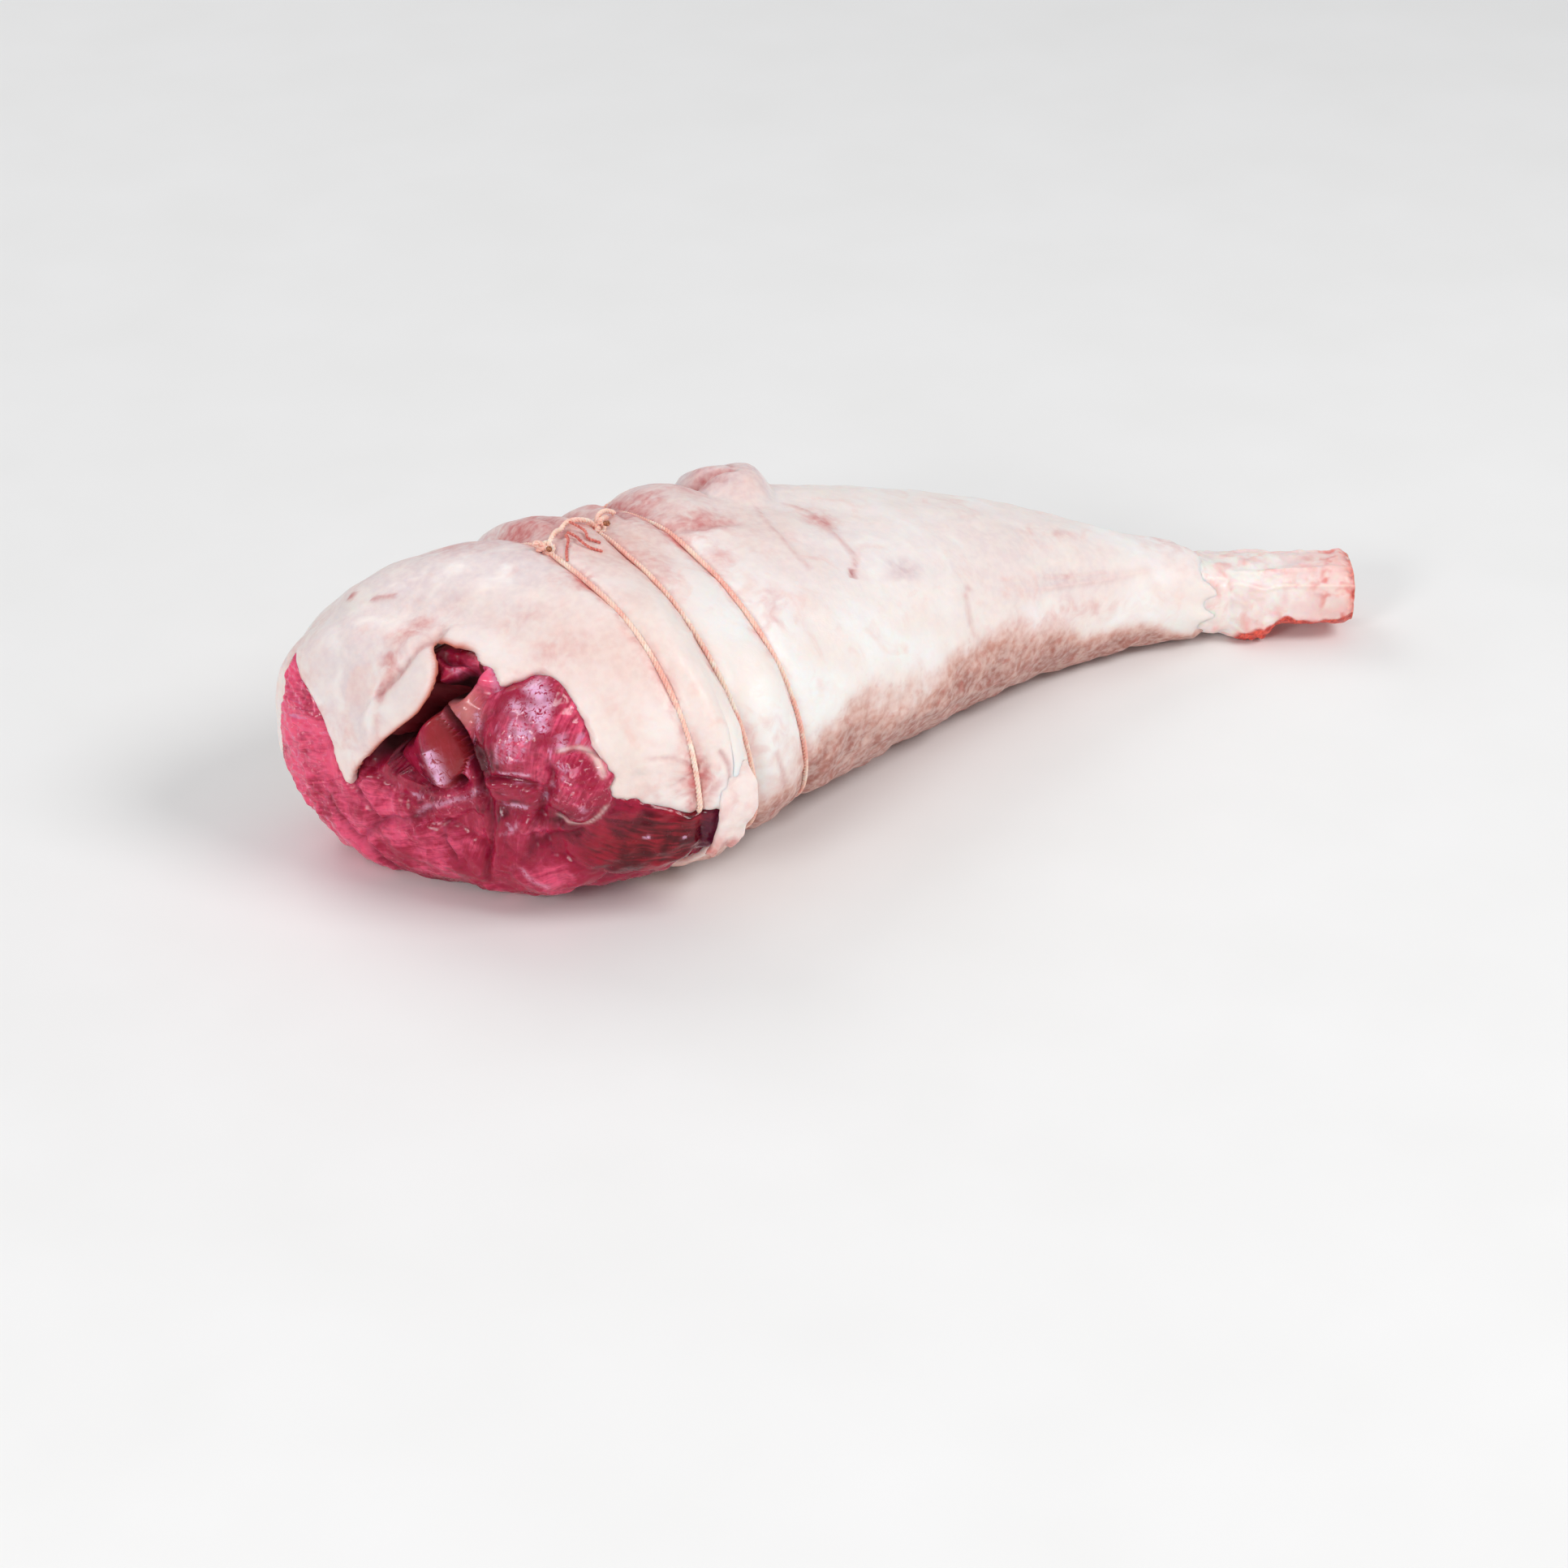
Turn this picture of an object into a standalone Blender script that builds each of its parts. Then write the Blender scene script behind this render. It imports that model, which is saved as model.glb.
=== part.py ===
"""A raw leg of lamb, tied with three rings of butcher's string.

Metres, +Z up. The cut thick end points to -X and the shank to +X. The leg lies on a flat patch at z = 0,
and the origin is under the middle of the whole object. Sizes are written in millimetres and scaled by MM.
"""

import math

import bmesh
import bpy
from mathutils import Vector

MM = 0.001

# ---------------------------------------------------------------- driving sizes, in millimetres
# One row for each place where the leg changes: distance from the thick end, sideways place of the middle,
# half width, height of the top, and how far the underside is lifted.
STATIONS = (
    (0, -12, 58, 90, 0.0),
    (20, -12, 67, 101, 0.0),
    (45, -8, 71, 103, 0.0),
    (75, 0, 71, 96, 0.0),
    (110, 8, 66, 91, 0.0),
    (145, 13, 59, 83, 0.0),
    (180, 16, 49, 74, 0.5),
    (215, 17, 38, 64, 1.0),
    (250, 13, 27, 51, 2.0),
    (280, 6, 20, 39, 2.5),
    (304, -3, 16.5, 31, 2.5),
)
ALONG, MIDDLE, HALF_WIDTH, HEIGHT, LIFT = range(5)
SETTLE = 1.6  # how far the soft meat spreads flat where it bears on the table
FLAT_SHARE = 0.2  # the share of its lift at which the raised underside is flattened too
UPPER_POWER = 2.2  # roundness of the section above its middle; 2 is an ellipse
LOWER_POWER = 2.4  # the underside is a little squarer, because the meat sags

# The butcher's cut across the thick end runs obliquely, so its rings lean towards -Y.
CUT_SLANT = 0.54
CUT_SLANT_FULL, CUT_SLANT_END = 10, 78
CUT_BULGE = 24  # how far the cut face swells out of its rim
CUT_ROUNDING = 0.75  # 1 is an ellipsoid; less gives a flatter face with a rounder rim

MUSCLE_FADE = 0.6  # the share of the face, in from its rim, over which the muscles rise
# The muscles seen on the cut face: place along the face, height, radius, and how proud each one stands.
CUT_MUSCLES = (
    (-38, 42, 24, 2.5),
    (22, 57, 11, 3.0),
    (46, 64, 22, 5.0),
    (65, 50, 14, 4.0),
    (8, 26, 24, 3.0),
    (48, 24, 24, 3.5),
    (78, 28, 20, 3.0),
)

# The pocket where a flap of fat hangs free of the cut face.
POCKET_PLACE = (9, 60)  # along the face, and height
POCKET_SUNK = 2  # how far its middle lies behind the face's own middle
POCKET_HALF_SIZE = (21, 6.5, 15)  # along the slot, across it, and into the meat
POCKET_LEAN = math.radians(52)
POCKET_FACETS = 14

# Each string lies in a plane: distance along, lean across, lean up, and the angle of its knot.
STRINGS = {
    "string_1": (45, 0.10, -0.07, 84),
    "string_2": (76.5, 0.0, -0.19, 74),
    "string_3": (99.5, 0.03, -0.20, 28),
}
LEAN_HEIGHT = 45  # the strings' places are measured at this height
STRING_RADIUS = 1.0
STRING_BED = 2.2  # how far the skin dips under a string
STRING_BED_WIDTH = 5.0
STRING_PROUD = 0.2  # how far a string's centre stands above the dipped skin
STRING_LIFT = 0.25  # clearance of a string above the table
KNOT_SIZE = (3.4, 2.6, 1.9)
KNOT_PROUD = 0.9  # how far the knot's middle stands above the string's
TAIL_LENGTH, TAIL_STEPS = 11, 4
TAIL_RADIUS = 0.8
TAIL_FORWARD = 0.8  # how much of its length a tail runs towards the shank
TAIL_SPLAY = 0.35  # degrees that a tail turns round the leg for each millimetre of its length
TAIL_CLEAR = 4  # the length over which a tail climbs out of the string's bed
GAP = 0.4  # clearance cut round a string, a knot and the bone

# Soft rolls of meat that the strings leave standing:
# distance along, angle, how proud, half length and half spread.
ROLLS = (
    (61, 40, 1.5, 11, 60),
    (83, 42, 3.0, 10, 50),
    (107, 46, 5.5, 15, 45),
    (136, 50, 9.0, 16, 32),
    (60, 195, 2.0, 15, 60),
    (88, 195, 2.0, 13, 60),
)

# The shank bone: a round shaft in the meat, then the sawn knuckle, which turns towards -Y.
SHAFT_RADIUS = 8.5
SHAFT_START = 282
KNUCKLE_START, KNUCKLE_END = Vector((304.4, -3.5, 0)), Vector((350, -27.5, 0))
KNUCKLE_TURN_LENGTH = 12  # over which its sections turn to face along it
KNUCKLE_POWER = 3.2  # squareness of its section
FOOT_LIFT, HEEL_LIFT = 0.5, 5.0  # the underside of the foot, and of the sawn heel past it
# distance from its start, half width, height of the top and of the underside
KNUCKLE_SECTIONS = (
    (0, 14.5, 29, FOOT_LIFT + 1.5),
    (3, 15.5, 28.5, FOOT_LIFT),
    (8, 15.5, 28, FOOT_LIFT),
    (20, 15.0, 27, FOOT_LIFT),
    (24, 13.0, 27, HEEL_LIFT),
    (36, 12.5, 27, HEEL_LIFT),
    (48, 13.5, 27.5, HEEL_LIFT + 0.5),
    (51.5, 12.0, 26.0, HEEL_LIFT + 2.0),
)

# Mesh fineness
TURNS = 42
THICK_END, THICK_STEP, SHANK_STEP = 120, 5.0, 9.2
CUT_RINGS = 10
CUT_RING_SPACING = 1.4
STRING_STEPS = 42
STRING_SIDES = 6
KNOT_FACETS = 8
BONE_TURNS = 20


# ---------------------------------------------------------------- small helpers
def clear_scene():
    for item in list(bpy.data.objects):
        bpy.data.objects.remove(item)


def ease(value):
    """0 below 0, 1 above 1, and a smooth step between."""
    value = min(1.0, max(0.0, value))
    return value * value * (3 - 2 * value)


def signed_power(value, power):
    return math.copysign(abs(value) ** power, value)


def station(along, column):
    """One column of STATIONS at any distance along, on a smooth curve through its rows."""
    last = len(STATIONS) - 1
    along = min(max(along, STATIONS[0][ALONG]), STATIONS[last][ALONG])
    low = max(i for i in range(last) if STATIONS[i][ALONG] <= along)

    def slope(i):
        before, after = STATIONS[max(i - 1, 0)], STATIONS[min(i + 1, last)]
        return (after[column] - before[column]) / (after[ALONG] - before[ALONG])

    start, end = STATIONS[low], STATIONS[low + 1]
    length = end[ALONG] - start[ALONG]
    t = (along - start[ALONG]) / length
    return (
        (2 * t**3 - 3 * t**2 + 1) * start[column]
        + (t**3 - 2 * t**2 + t) * length * slope(low)
        + (3 * t**2 - 2 * t**3) * end[column]
        + (t**3 - t**2) * length * slope(low + 1)
    )


def angle_between(first, second):
    """The shorter way round between two angles in degrees."""
    return abs((first - second + 180) % 360 - 180)


def string_plane(point, plane):
    """How far a point lies past a string's plane, along the leg."""
    place, across, up, _ = plane
    return point.x + across * point.y - up * (point.z - LEAN_HEIGHT) - place


# ---------------------------------------------------------------- the leg's skin
def swelling(point, along, degrees):
    """How far the soft surface stands out of the plain section: dips under strings, and rolls between them."""
    proud = 0.0
    for plane in STRINGS.values():
        proud -= STRING_BED * math.exp(-((string_plane(point, plane) / STRING_BED_WIDTH) ** 2))
    for place, angle, height, length, spread in ROLLS:
        away = ((along - place) / length) ** 2 + (angle_between(degrees, angle) / spread) ** 2
        proud += height * max(0.0, 1 - away)
    return proud


def skin(along, degrees, share=1.0, beyond=0.0):
    """A point of the leg's surface. Angle 0 is the far side (+Y), 90 the top and 180 the near side.

    share draws the point in towards the middle of its ring, and beyond moves the ring out past the rim.
    """
    middle, half_width, height, lift = (station(along, c) for c in (MIDDLE, HALF_WIDTH, HEIGHT, LIFT))
    turn = math.radians(degrees)
    power = UPPER_POWER if math.sin(turn) > 0 else LOWER_POWER
    across = share * signed_power(math.cos(turn), 2 / power)
    upward = share * signed_power(math.sin(turn), 2 / power)
    y = half_width * across
    slant = CUT_SLANT * ease((CUT_SLANT_END - along) / (CUT_SLANT_END - CUT_SLANT_FULL))
    tall = height - lift + SETTLE
    z = lift - SETTLE + tall * (0.5 + 0.5 * upward)
    point = Vector((along - beyond - slant * y, middle + y, z))
    outward = Vector((0, across / half_width, upward / (tall / 2)))
    if share == 1.0 and beyond == 0.0:
        point += outward.normalized() * swelling(point, along, degrees)
    point.z = max(point.z, FLAT_SHARE * lift, 0.0)
    return point


FACE_ACROSS = Vector((CUT_SLANT, -1, 0)).normalized()  # along the cut face, towards the near side
FACE_OUT = Vector((-1, -CUT_SLANT, 0)).normalized()


def face_middle():
    return Vector((-CUT_BULGE, station(0, MIDDLE), 0))


def muscle_relief(point):
    """How proud the cut muscles stand at a point of the face."""
    place = (point - face_middle()).dot(FACE_ACROSS)
    proud = 0.0
    for across, height, radius, relief in CUT_MUSCLES:
        away = math.hypot(place - across, point.z - height) / radius
        proud = max(proud, relief * (1 - away**2))
    return proud


def cut_ring(step):
    """A ring of the swollen cut face, from its rim (step 0) in to its middle (step CUT_RINGS)."""
    share = 1 - (step / CUT_RINGS) ** CUT_RING_SPACING
    beyond = CUT_BULGE * math.sqrt(1 - share ** (2 / CUT_ROUNDING))
    ring = []
    for i in range(TURNS):
        point = skin(0, 360 * i / TURNS, share=share, beyond=beyond)
        ring.append(point + FACE_OUT * muscle_relief(point) * ease((1 - share) / MUSCLE_FADE))
    return ring


def body_places():
    thick_steps = round(THICK_END / THICK_STEP)
    shank_steps = round((STATIONS[-1][ALONG] - THICK_END) / SHANK_STEP)
    thick = [THICK_END * i / thick_steps for i in range(thick_steps)]
    shank = [THICK_END + (STATIONS[-1][ALONG] - THICK_END) * i / shank_steps for i in range(shank_steps + 1)]
    return thick + shank


# ---------------------------------------------------------------- meshes
def new_object(name, mesh, finish):
    item = bpy.data.objects.new(name, mesh)
    mesh.materials.append(finish)
    bpy.context.scene.collection.objects.link(item)
    return item


def lofted(name, rings, finish, closed=False):
    """A mesh through rings of points in millimetres. Its ends are capped by a fan, or joined if closed."""
    mesh = bmesh.new()
    loops = [[mesh.verts.new(point * MM) for point in ring] for ring in rings]
    pairs = list(zip(loops, loops[1:]))
    if closed:
        pairs.append((loops[-1], loops[0]))
    for ring, after in pairs:
        for i in range(len(ring)):
            j = (i + 1) % len(ring)
            mesh.faces.new((ring[i], ring[j], after[j], after[i]))
    if not closed:
        for ring, order in ((loops[0], -1), (loops[-1], 1)):
            middle = mesh.verts.new(sum((v.co for v in ring), Vector()) / len(ring))
            for i in range(len(ring)):
                mesh.faces.new((ring[i], ring[(i + 1) % len(ring)], middle)[::order])
    mesh.normal_update()
    bmesh.ops.recalc_face_normals(mesh, faces=mesh.faces)
    data = bpy.data.meshes.new(name)
    mesh.to_mesh(data)
    mesh.free()
    data.shade_smooth()
    data.set_sharp_from_angle(angle=math.radians(50))
    return new_object(name, data, finish)


def tube(name, path, radius, finish, closed):
    """A round tube along a path of points in millimetres."""
    rings = []
    count = len(path)
    for i, point in enumerate(path):
        before = path[i - 1] if closed or i else point
        after = path[(i + 1) % count] if closed or i < count - 1 else point
        forward = (after - before).normalized()
        outward = (point - Vector((point.x, 0, LEAN_HEIGHT))).normalized()
        side = forward.cross(outward).normalized()
        outward = side.cross(forward)
        turns = [2 * math.pi * k / STRING_SIDES for k in range(STRING_SIDES)]
        rings.append([point + radius * (math.cos(t) * outward + math.sin(t) * side) for t in turns])
    return lofted(name, rings, finish, closed=closed)


def ellipsoid(name, place, axes, half_sizes, finish, fineness):
    """A closed ball stretched along three axes, in millimetres."""
    mesh = bmesh.new()
    bmesh.ops.create_uvsphere(mesh, u_segments=fineness, v_segments=fineness // 2 + 1, radius=1.0)
    for vertex in mesh.verts:
        spread = sum((axis * size * c for axis, size, c in zip(axes, half_sizes, vertex.co)), Vector())
        vertex.co = (place + spread) * MM
    mesh.normal_update()
    bmesh.ops.recalc_face_normals(mesh, faces=mesh.faces)
    data = bpy.data.meshes.new(name)
    mesh.to_mesh(data)
    mesh.free()
    data.shade_smooth()
    return new_object(name, data, finish)


def hide(item):
    item.hide_render = True
    item.display_type = "WIRE"


def boolean(item, other, operation):
    """Joins or cuts item by another object, which is then only a helper."""
    modifier = item.modifiers.new(other.name, "BOOLEAN")
    modifier.operation = operation
    modifier.solver = "EXACT"
    modifier.object = other
    hide(other)


# ---------------------------------------------------------------- strings
def on_string(plane, degrees):
    """The point of the skin at this angle that lies in a string's plane, found by halving."""
    low, high = STATIONS[0][ALONG], STATIONS[-1][ALONG]
    for _ in range(30):
        middle = (low + high) / 2
        if string_plane(skin(middle, degrees), plane) < 0:
            low = middle
        else:
            high = middle
    return skin(low, degrees)


def outward_at(plane, degrees):
    """The direction out of the skin at this angle of a string, from two points close to it on each side."""
    ahead = on_string(plane, degrees + 2) - on_string(plane, degrees - 2)
    return ahead.cross(Vector((1, 0, 0))).normalized()


def string_path(plane):
    path = []
    for i in range(STRING_STEPS):
        degrees = 360 * i / STRING_STEPS
        point = on_string(plane, degrees) + outward_at(plane, degrees) * STRING_PROUD
        point.z = max(point.z, STRING_RADIUS + STRING_LIFT)
        path.append(point)
    return path


def tail_path(plane, side):
    """A cut end of the string, lying on the skin beside the knot."""
    knot = plane[3]
    path = []
    for step in range(TAIL_STEPS):
        run = TAIL_LENGTH * step / (TAIL_STEPS - 1)
        degrees = knot + side * run * TAIL_SPLAY
        moved = (plane[0] + run * TAIL_FORWARD, *plane[1:])
        clear = STRING_PROUD + 2 * STRING_RADIUS * ease(run / TAIL_CLEAR)
        path.append(on_string(moved, degrees) + outward_at(moved, degrees) * clear)
    return path


def tied_string(name, plane, extra, finish):
    """A ring of string with its knot and two tails. extra fattens it, for the bed cut under it."""
    string = tube(name, string_path(plane), STRING_RADIUS + extra, finish, closed=True)
    out = outward_at(plane, plane[3])
    knot_point = on_string(plane, plane[3]) + out * (STRING_PROUD + KNOT_PROUD)
    along = Vector((1, 0, 0))
    axes = (along, out.cross(along).normalized(), out)
    sizes = [size + extra for size in KNOT_SIZE]
    boolean(string, ellipsoid(name + "_knot", knot_point, axes, sizes, finish, KNOT_FACETS), "UNION")
    for side in (-1, 1):
        tail = tube(f"{name}_tail_{side}", tail_path(plane, side), TAIL_RADIUS + extra, finish, closed=False)
        boolean(string, tail, "UNION")
    return string


# ---------------------------------------------------------------- the shank bone
def bone_ring(centre, heading, half_width, high, low, power):
    """A section of the bone across its heading, an angle in radians."""
    side = Vector((-math.sin(heading), math.cos(heading), 0))
    ring = []
    for i in range(BONE_TURNS):
        turn = 2 * math.pi * i / BONE_TURNS
        across = half_width * signed_power(math.cos(turn), 2 / power)
        z = (high + low) / 2 + (high - low) / 2 * signed_power(math.sin(turn), 2 / power)
        ring.append(Vector((centre.x, centre.y, z)) + side * across)
    return ring


def shaft_rings(extra):
    """The round shaft inside the shank; extra fattens it, for the socket."""
    start = Vector((SHAFT_START, station(SHAFT_START, MIDDLE), station(SHAFT_START, HEIGHT) / 2 + 1))
    end = Vector((KNUCKLE_START.x, KNUCKLE_START.y, station(KNUCKLE_START.x, HEIGHT) / 2 + 1))
    run = (end - start) / (end.x - start.x)
    radius = SHAFT_RADIUS + extra
    rings = []
    for centre in (start - run * extra, end + run * 5 * extra):
        rings.append(bone_ring(centre, 0.0, radius, centre.z + radius, centre.z - radius, 2))
    return rings


def knuckle_rings():
    """The sawn knuckle: a foot that hangs to the table, then a stepped heel, then the rounded sawn end."""
    run = (KNUCKLE_END - KNUCKLE_START).normalized()
    heading = math.atan2(run.y, run.x)
    rings = []
    for distance, half_width, high, low in KNUCKLE_SECTIONS:
        turned = heading * ease(distance / KNUCKLE_TURN_LENGTH)
        rings.append(bone_ring(KNUCKLE_START + run * distance, turned, half_width, high, low, KNUCKLE_POWER))
    return rings


# ---------------------------------------------------------------- materials
def material(name, colour, roughness):
    finish = bpy.data.materials.new(name)
    finish.use_nodes = True
    shader = finish.node_tree.nodes["Principled BSDF"]
    shader.inputs["Base Color"].default_value = (*colour, 1)
    shader.inputs["Roughness"].default_value = roughness
    shader.inputs["Metallic"].default_value = 0.0
    return finish


# ---------------------------------------------------------------- the whole leg
def build_leg(fat):
    rings = [cut_ring(step) for step in range(CUT_RINGS - 1, 0, -1)]
    rings += [[skin(along, 360 * i / TURNS) for i in range(TURNS)] for along in body_places()]
    leg = lofted("leg", rings, fat)
    across, height = POCKET_PLACE
    place = face_middle() + FACE_ACROSS * across + Vector((0, 0, height)) + FACE_OUT * -POCKET_SUNK
    slot = math.cos(POCKET_LEAN) * FACE_ACROSS + math.sin(POCKET_LEAN) * Vector((0, 0, 1))
    axes = (slot, FACE_OUT.cross(slot), FACE_OUT)
    boolean(leg, ellipsoid("pocket", place, axes, POCKET_HALF_SIZE, fat, POCKET_FACETS), "DIFFERENCE")
    return leg


def stand_on_origin(items):
    """Moves all meshes so that the origin is under the middle of the whole object."""
    corners = [vertex.co for item in items if not item.hide_render for vertex in item.data.vertices]
    low, high = (Vector([pick(c[k] for c in corners) for k in range(3)]) for pick in (min, max))
    shift = Vector((-(low.x + high.x) / 2, -(low.y + high.y) / 2, -low.z))
    for mesh in {item.data for item in items}:
        for vertex in mesh.vertices:
            vertex.co += shift


def main():
    clear_scene()
    fat = material("fat", (0.83, 0.70, 0.64), 0.45)
    twine = material("twine", (0.80, 0.42, 0.32), 0.7)
    bone = material("bone", (0.85, 0.62, 0.56), 0.5)

    leg = build_leg(fat)
    for name, plane in STRINGS.items():
        tied_string(name, plane, 0.0, twine)
        boolean(leg, tied_string(name + "_bed", plane, GAP, twine), "DIFFERENCE")
    lofted("shank_bone", shaft_rings(0.0) + knuckle_rings(), bone)
    boolean(leg, lofted("bone_socket", shaft_rings(GAP), bone), "DIFFERENCE")
    stand_on_origin([item for item in bpy.data.objects if item.type == "MESH"])


main()
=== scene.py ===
# %% [markdown]
# # A raw leg of lamb, tied with three rings of butcher's string
# The real thing is one joint of meat: red muscle, laid bare where the butcher cut across the thick end,
# in a thin coat of white fat, with the sawn knuckle of the shank bone at the other end. It could be
# sculpted by hand, but its shape follows a rule (rounded sections along a line), so its skin is worked
# out from a table of sections, and the folds, lobes, cuts and grooves are added to that skin one by one.

# %% Load the fixed frame
import math

import bpy
import numpy as np
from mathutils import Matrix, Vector, noise
from mathutils.bvhtree import BVHTree


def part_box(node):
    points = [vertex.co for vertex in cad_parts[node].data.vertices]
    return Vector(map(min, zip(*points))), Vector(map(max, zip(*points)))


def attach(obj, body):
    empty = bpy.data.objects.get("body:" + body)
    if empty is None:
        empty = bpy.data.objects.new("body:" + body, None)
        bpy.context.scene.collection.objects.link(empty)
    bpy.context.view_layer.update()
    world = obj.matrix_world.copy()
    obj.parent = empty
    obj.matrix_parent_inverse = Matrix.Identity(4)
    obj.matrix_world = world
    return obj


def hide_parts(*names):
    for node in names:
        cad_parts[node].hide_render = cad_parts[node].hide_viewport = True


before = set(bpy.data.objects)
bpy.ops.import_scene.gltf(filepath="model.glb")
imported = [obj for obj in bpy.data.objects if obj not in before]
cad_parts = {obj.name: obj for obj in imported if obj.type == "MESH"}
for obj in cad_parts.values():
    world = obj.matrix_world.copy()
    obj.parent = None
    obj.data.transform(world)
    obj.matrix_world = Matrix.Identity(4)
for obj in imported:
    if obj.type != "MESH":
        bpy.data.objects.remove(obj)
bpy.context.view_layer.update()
MM = 0.001
print("nodes:", sorted(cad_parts))

# %% [markdown]
# ## The plain skin
# A leg is a row of rounded sections: wide and tall at the thick end, slim at the shank. Each row below
# holds the distance along, the sideways place of the middle, the half width, the height of the top and
# the lift of the underside, in millimetres. A smooth curve through the rows gives any section between
# them. The cut across the thick end is oblique, so the rings lean there, and the cut face swells a little
# out of its rim.

# %% Sections of the leg
STATIONS = np.array((
    (0, -12, 58, 90, 0.0),
    (20, -12, 67, 101, 0.0),
    (45, -8, 71, 103, 0.0),
    (75, 0, 71, 96, 0.0),
    (110, 8, 66, 91, 0.0),
    (145, 13, 59, 83, 0.0),
    (180, 16, 49, 74, 0.5),
    (215, 17, 38, 64, 1.0),
    (250, 13, 27, 51, 2.0),
    (280, 6, 20, 39, 2.5),
    (304, -3, 16.5, 31, 2.5),
))
SETTLE, FLAT_SHARE = 1.6, 0.2
UPPER_POWER, LOWER_POWER = 2.2, 2.4
SAGGED_POWER, SAG_FULL, SAG_END = 2.6, 5, 55
CUT_SLANT, CUT_SLANT_FULL, CUT_SLANT_END = 0.54, 10, 78
CUT_BULGE, CUT_ROUNDING = 24, 0.75
SHANK_BULGE = -3
FACE_ACROSS = np.array((CUT_SLANT, -1, 0)) / math.hypot(CUT_SLANT, 1)
FACE_MIDDLE = np.array((-CUT_BULGE, STATIONS[0][1], 0))


def ease(value):
    """0 below 0, 1 above 1, and a smooth step between."""
    value = np.clip(value, 0.0, 1.0)
    return value * value * (3 - 2 * value)


def signed_power(value, power):
    return np.sign(value) * np.abs(value) ** power


def station(along):
    """Middle, half width, height and lift at any distance along, on a smooth curve through the rows."""
    places, last = STATIONS[:, 0], len(STATIONS) - 1
    before = np.maximum(np.arange(last + 1) - 1, 0)
    after = np.minimum(np.arange(last + 1) + 1, last)
    slopes = (STATIONS[after] - STATIONS[before]) / (places[after] - places[before])[:, None]
    along = np.clip(along, places[0], places[-1])
    low = np.clip(np.searchsorted(places, along, side="right") - 1, 0, last - 1)
    length = (places[low + 1] - places[low])[..., None]
    t = (along - places[low])[..., None] / length
    rows = (
        (2 * t**3 - 3 * t**2 + 1) * STATIONS[low]
        + (t**3 - 2 * t**2 + t) * length * slopes[low]
        + (3 * t**2 - 2 * t**3) * STATIONS[low + 1]
        + (t**3 - t**2) * length * slopes[low + 1]
    )
    return rows[..., 1], rows[..., 2], rows[..., 3], rows[..., 4]


def skin(along, degrees, share):
    """Points of the plain skin. Angle 0 is the far side, 90 the top, 180 the near side; share 0 is a pole."""
    middle, half_width, height, lift = station(along)
    turn = np.radians(degrees)
    sagged = ease((SAG_END - along) / (SAG_END - SAG_FULL))
    lower_power = LOWER_POWER + (SAGGED_POWER - LOWER_POWER) * sagged
    power = np.where(np.sin(turn) > 0, UPPER_POWER, lower_power)
    across = share * signed_power(np.cos(turn), 2 / power)
    upward = share * signed_power(np.sin(turn), 2 / power)
    bulge = np.where(along > 0, SHANK_BULGE, CUT_BULGE)
    beyond = bulge * np.sqrt(np.clip(1 - share ** (2 / CUT_ROUNDING), 0, 1))
    y = half_width * across
    slant = CUT_SLANT * ease((CUT_SLANT_END - along) / (CUT_SLANT_END - CUT_SLANT_FULL))
    tall = height - lift + SETTLE
    z = lift - SETTLE + tall * (0.5 + 0.5 * upward)
    z = np.maximum(z, np.maximum(FLAT_SHARE * lift, 0))
    return np.stack([along - beyond - slant * y, middle + y, z], axis=-1)


leg_low, leg_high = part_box("leg")
plain_y = skin(np.linspace(0, 304, 153)[:, None], np.arange(360.0)[None], np.ones((153, 360)))[..., 1]
SHIFT = np.array((
    leg_high.x / MM - STATIONS[-1][0],
    (leg_low.y + leg_high.y) / 2 / MM - (plain_y.min() + plain_y.max()) / 2,
    0,
))
print("the leg's own frame sits at", SHIFT.round(2), "mm in the frame")

# %% [markdown]
# ## A grid on the skin
# Every soft surface starts as a grid: rings along the leg, and the same number of points round each ring.
# The thick end's face is part of the grid, as rings that shrink to a pole. Rings are close together where
# there is detail, and points are closer on the top and the near side than underneath. Each point also
# gets a place on a flat map, with the face in the middle and the leg unrolled round it, on which cuts are
# drawn.


# %% Grid, map and normals
def steps(*runs):
    """Distances from 0 on: runs of (end, step) one after another."""
    places = [0.0]
    for end, step in runs:
        count = round((end - places[-1]) / step)
        places += list(np.linspace(places[-1], end, count + 1)[1:])
    return places


class Surface:
    """Rings of points that can be pushed along their normals."""

    def __init__(self, shape):
        self.shape = shape

    def slopes(self, values):
        """Change of values from ring to ring, and from point to point round the ring."""
        across = (np.roll(values, -1, axis=1) - np.roll(values, 1, axis=1)) / 2
        return np.gradient(values, axis=0), across

    def normals(self):
        down, across = self.slopes(self.shape)
        normal = np.cross(across, down)
        return normal / np.maximum(np.linalg.norm(normal, axis=-1, keepdims=True), 1e-9)

    def push(self, amount):
        """Moves every point along the surface's normal."""
        self.shape = self.shape + self.normals() * amount[..., None]


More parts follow.
